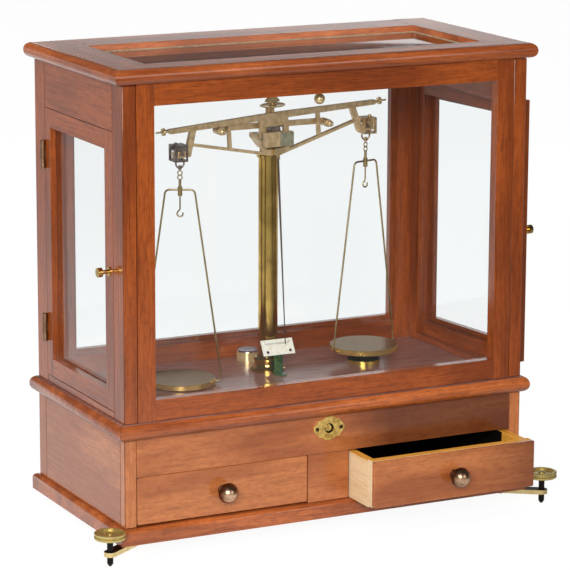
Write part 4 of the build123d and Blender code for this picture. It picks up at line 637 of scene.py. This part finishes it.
low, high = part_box("escutcheon")
EAR_X = 13.2 * MM
screws("escutcheon_screws", [((side * EAR_X, low.y + HAIR, KEYHOLE.z), (0, -1, 0), 2.1) for side in (-1, 1)],
       "case", SCREW_STEEL, "steel")

# the leaning plate: origin at the middle of its lower edge, x across, y up its face
LEAN = radians(31)
low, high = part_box("scale_plate")
PLATE = Matrix.Translation(((low.x + high.x) / 2, low.y, 154.6 * MM)) @ Matrix(
    ((1, 0, 0), (0, sin(LEAN), -cos(LEAN)), (0, cos(LEAN), sin(LEAN)))).to_4x4()
screws("scale_screws", [(PLATE @ Vector((side * 12.7 * MM, 3.6 * MM, 0.38 * MM)), PLATE.to_3x3() @ AXES["z"], 1.5)
                        for side in (-1, 1)], "case", SCREW_STEEL, "steel")

HINGE_Z = [(NODES_Z + 14) * MM for NODES_Z in (176.2, 352.1)]
for side, door in ((-1, "left_door"), (1, "right_door")):
    spots = [(Vector((side * 215.6 * MM, 0, z + rise * MM)), side) for z in HINGE_Z for rise in (-9, 0, 9)]
    screws(f"{door}_post_screws", [(place + AXES["y"] * 114.69 * MM, (0, -1, 0), 1.3) for place, side in spots],
           "case", HINGE_BRASS, "old_brass")
    undo = shut_door().inverted() if side == 1 else Matrix.Identity(4)
    screws(f"{door}_leaf_screws", [(undo @ (place + AXES["y"] * 113.88 * MM), undo.to_3x3() @ AXES["y"], 1.3)
                                   for place, side in spots], door, HINGE_BRASS, "old_brass")


def scale_lines():
    """Upright lines along x, each fifth one longer."""
    tree, given = growth("scale_lines", {"Count": "Int", "Pitch": "Float", "Length": "Float", "Width": "Float",
                                         "Material": "Material"})
    across = add(tree, "ShaderNodeMath", {0: given["Pitch"], 1: given["Count"]}, operation="MULTIPLY")[0]
    start = add(tree, "ShaderNodeMath", {0: across, 1: -0.5}, operation="MULTIPLY")[0]
    line = add(tree, "GeometryNodeMeshLine", {
        "Count": given["Count"], "Start Location": add(tree, "ShaderNodeCombineXYZ", {0: start})[0],
        "Offset": add(tree, "ShaderNodeCombineXYZ", {0: given["Pitch"]})[0]}, mode="OFFSET")[0]
    middle = add(tree, "ShaderNodeMath", {0: given["Length"], 1: 0.5}, operation="MULTIPLY")[0]
    bar = add(tree, "GeometryNodeTransform", {
        "Geometry": add(tree, "GeometryNodeMeshCube", {
            "Size": add(tree, "ShaderNodeCombineXYZ", {0: given["Width"], 1: given["Length"], 2: 0.06 * MM})[0]})[0],
        "Translation": add(tree, "ShaderNodeCombineXYZ", {1: middle})[0]})[0]
    fifth = add(tree, "ShaderNodeMath", {0: add(tree, "GeometryNodeInputIndex")[0], 1: 5.0}, operation="MODULO")[0]
    fifth = add(tree, "ShaderNodeMath", {0: fifth, 1: 0.5}, operation="LESS_THAN")[0]
    stretch = add(tree, "ShaderNodeMath", {0: fifth, 1: 0.7, 2: 1.0}, operation="MULTIPLY_ADD")[0]
    bars = add(tree, "GeometryNodeInstanceOnPoints", {
        "Points": line, "Instance": bar,
        "Scale": add(tree, "ShaderNodeCombineXYZ", {0: 1.0, 1: stretch, 2: 1.0})[0]})[0]
    close(tree, bars, given["Material"])
    return tree


# real lines are a tenth of a millimetre wide, drawn at a quarter so that they show
lines = grown("scale_lines", bpy.data.meshes.new("line"), scale_lines(),
              {"Count": 31, "Pitch": 0.9 * MM, "Length": 2.0 * MM, "Width": 0.25 * MM, "Material": INK})
lines.transform(PLATE @ Matrix.Translation((0.45 * MM, 11.2 * MM, 0)))
piece("scale_lines", lines, "case", INK, "steel")


# ---- surroundings ----
def studio_floor():
    """White paper under the case. It keeps a soft shadow and is white all round."""
    material, tree = blank("white_paper")
    ray = add(tree, "ShaderNodeLightPath")
    place = add(tree, "ShaderNodeTexCoord")["Object"]
    place = add(tree, "ShaderNodeSeparateXYZ", {0: place})
    # mirrored, the paper darkens in front of the case and to its right, and stays white behind it
    front = add(tree, "ShaderNodeMapRange", {0: place["Y"], 1: -1.5, 2: -0.5, 3: 0.12})[0]
    beside = add(tree, "ShaderNodeMapRange", {0: place["X"], 1: -0.05, 2: 0.45, 3: 1.0, 4: 0.2})[0]
    behind = add(tree, "ShaderNodeMapRange", {0: place["Y"], 1: 0.0, 2: 0.3})[0]
    near = add(tree, "ShaderNodeMath", {0: front, 1: beside}, operation="MULTIPLY")[0]
    near = add(tree, "ShaderNodeMath", {0: near, 1: behind}, operation="MAXIMUM")[0]
    left = add(tree, "ShaderNodeMapRange", {0: place["X"], 1: -0.9, 2: -0.35, 3: 0.55})[0]
    near = add(tree, "ShaderNodeMath", {0: near, 1: left}, operation="MULTIPLY")[0]
    seen = add(tree, "ShaderNodeMath", {0: near, 1: ray["Is Glossy Ray"]}, operation="MULTIPLY")[0]
    for kind in ("Is Camera Ray", "Is Transmission Ray"):
        seen = add(tree, "ShaderNodeMath", {0: seen, 1: ray[kind]}, operation="MAXIMUM")[0]
    glow = add(tree, "ShaderNodeMath", {0: seen, 1: 0.93}, operation="MULTIPLY")[0]
    light = add(tree, "ShaderNodeEmission", {"Color": (1, 1, 1, 1), "Strength": glow})[0]
    matt = add(tree, "ShaderNodeBsdfDiffuse", {"Color": linear("606060")})[0]
    add(tree, "ShaderNodeOutputMaterial", {0: add(tree, "ShaderNodeAddShader", {0: light, 1: matt})[0]})
    bpy.ops.mesh.primitive_circle_add(vertices=96, radius=14, fill_type="NGON")
    floor = bpy.context.object
    floor.name = "paper_floor"
    floor.data.materials.append(material)


def studio_world():
    """Even white light, seen as plain white behind the object."""
    world = bpy.data.worlds.new("studio")
    bpy.context.scene.world = world
    world.use_nodes = True
    tree = world.node_tree
    tree.nodes.clear()
    ray = add(tree, "ShaderNodeLightPath")
    toward = add(tree, "ShaderNodeSeparateXYZ", {0: add(tree, "ShaderNodeTexCoord")["Generated"]})
    # the paper behind and beside the case mirrors white, the room in front of it and over it darker
    back = add(tree, "ShaderNodeMapRange", {0: toward["Y"], 1: -0.55, 2: 0.05, 3: 0.13})[0]
    over = add(tree, "ShaderNodeMapRange", {0: toward["Z"], 1: 0.0, 2: 0.08, 3: 1.0, 4: 0.08})[0]
    seen = add(tree, "ShaderNodeMath", {0: back, 1: over}, operation="MULTIPLY")[0]
    seen = add(tree, "ShaderNodeMath", {0: seen, 1: ray["Is Glossy Ray"]}, operation="MULTIPLY")[0]
    ambient = add(tree, "ShaderNodeMath", {0: ray["Is Diffuse Ray"], 1: 0.42}, operation="MULTIPLY")[0]
    for shown in (ray["Is Camera Ray"], ray["Is Transmission Ray"], ambient):
        seen = add(tree, "ShaderNodeMath", {0: seen, 1: shown}, operation="MAXIMUM")[0]
    sky = add(tree, "ShaderNodeBackground", {"Color": (1, 1, 1, 1), "Strength": seen})[0]
    add(tree, "ShaderNodeOutputWorld", {0: sky})


def lamp(name, place, aim, size, watts, mirrored=True):
    """A soft lamp. Polish mirrors it only where mirrored is set."""
    data = bpy.data.lights.new(name, "AREA")
    data.shape, data.size, data.size_y, data.energy = "RECTANGLE", size[0], size[1], watts
    holder = bpy.data.objects.new(name, data)
    holder.location = place
    holder.rotation_mode = "QUATERNION"
    holder.rotation_quaternion = (Vector(aim) - Vector(place)).to_track_quat("-Z", "Y")
    holder.visible_camera = False
    holder.visible_glossy = mirrored
    bpy.context.scene.collection.objects.link(holder)


studio_floor()
studio_world()
lamp("key_light", (-1.5, -2.5, 1.2), (-0.1, 0, 0.25), (1.3, 1.0), 76)
lamp("side_light", (-2.6, -0.2, 1.4), (0, 0, 0.25), (1.2, 1.4), 25, mirrored=False)
lamp("front_fill", (1.2, -2.9, 1.0), (0, 0, 0.2), (1.2, 1.2), 12)
lamp("top_light", (-0.3, -0.6, 2.6), (0, 0, 0.4), (1.0, 1.0), 5, mirrored=False)
lamp("high_card", (2.1, 1.85, 1.0), (0.25, 0, 0.47), (1.2, 0.4), 0.7)
lamp("low_card", (1.1, 1.85, 0.55), (0, 0, 0.15), (1.4, 0.4), 2.0)

# ---- camera ----
AZIMUTH, ELEVATION, ROLL = radians(26.876), radians(12.461), radians(0.237)
forward = Vector((sin(AZIMUTH) * cos(ELEVATION), cos(AZIMUTH) * cos(ELEVATION), -sin(ELEVATION)))
flat = Vector((cos(AZIMUTH), -sin(AZIMUTH), 0))
upright = flat.cross(forward)
right = cos(ROLL) * flat + sin(ROLL) * upright
above = -sin(ROLL) * flat + cos(ROLL) * upright
lens = bpy.data.cameras.new("camera")
lens.lens, lens.sensor_width = 187.45, 36.0
camera = bpy.data.objects.new("camera", lens)
camera.matrix_world = Matrix.Translation((-1.3189, -2.58105, 0.875)) @ Matrix(
    (right, above, -forward)).transposed().to_4x4()
bpy.context.scene.collection.objects.link(camera)
bpy.context.scene.camera = camera
bpy.context.scene.view_settings.view_transform = "Standard"
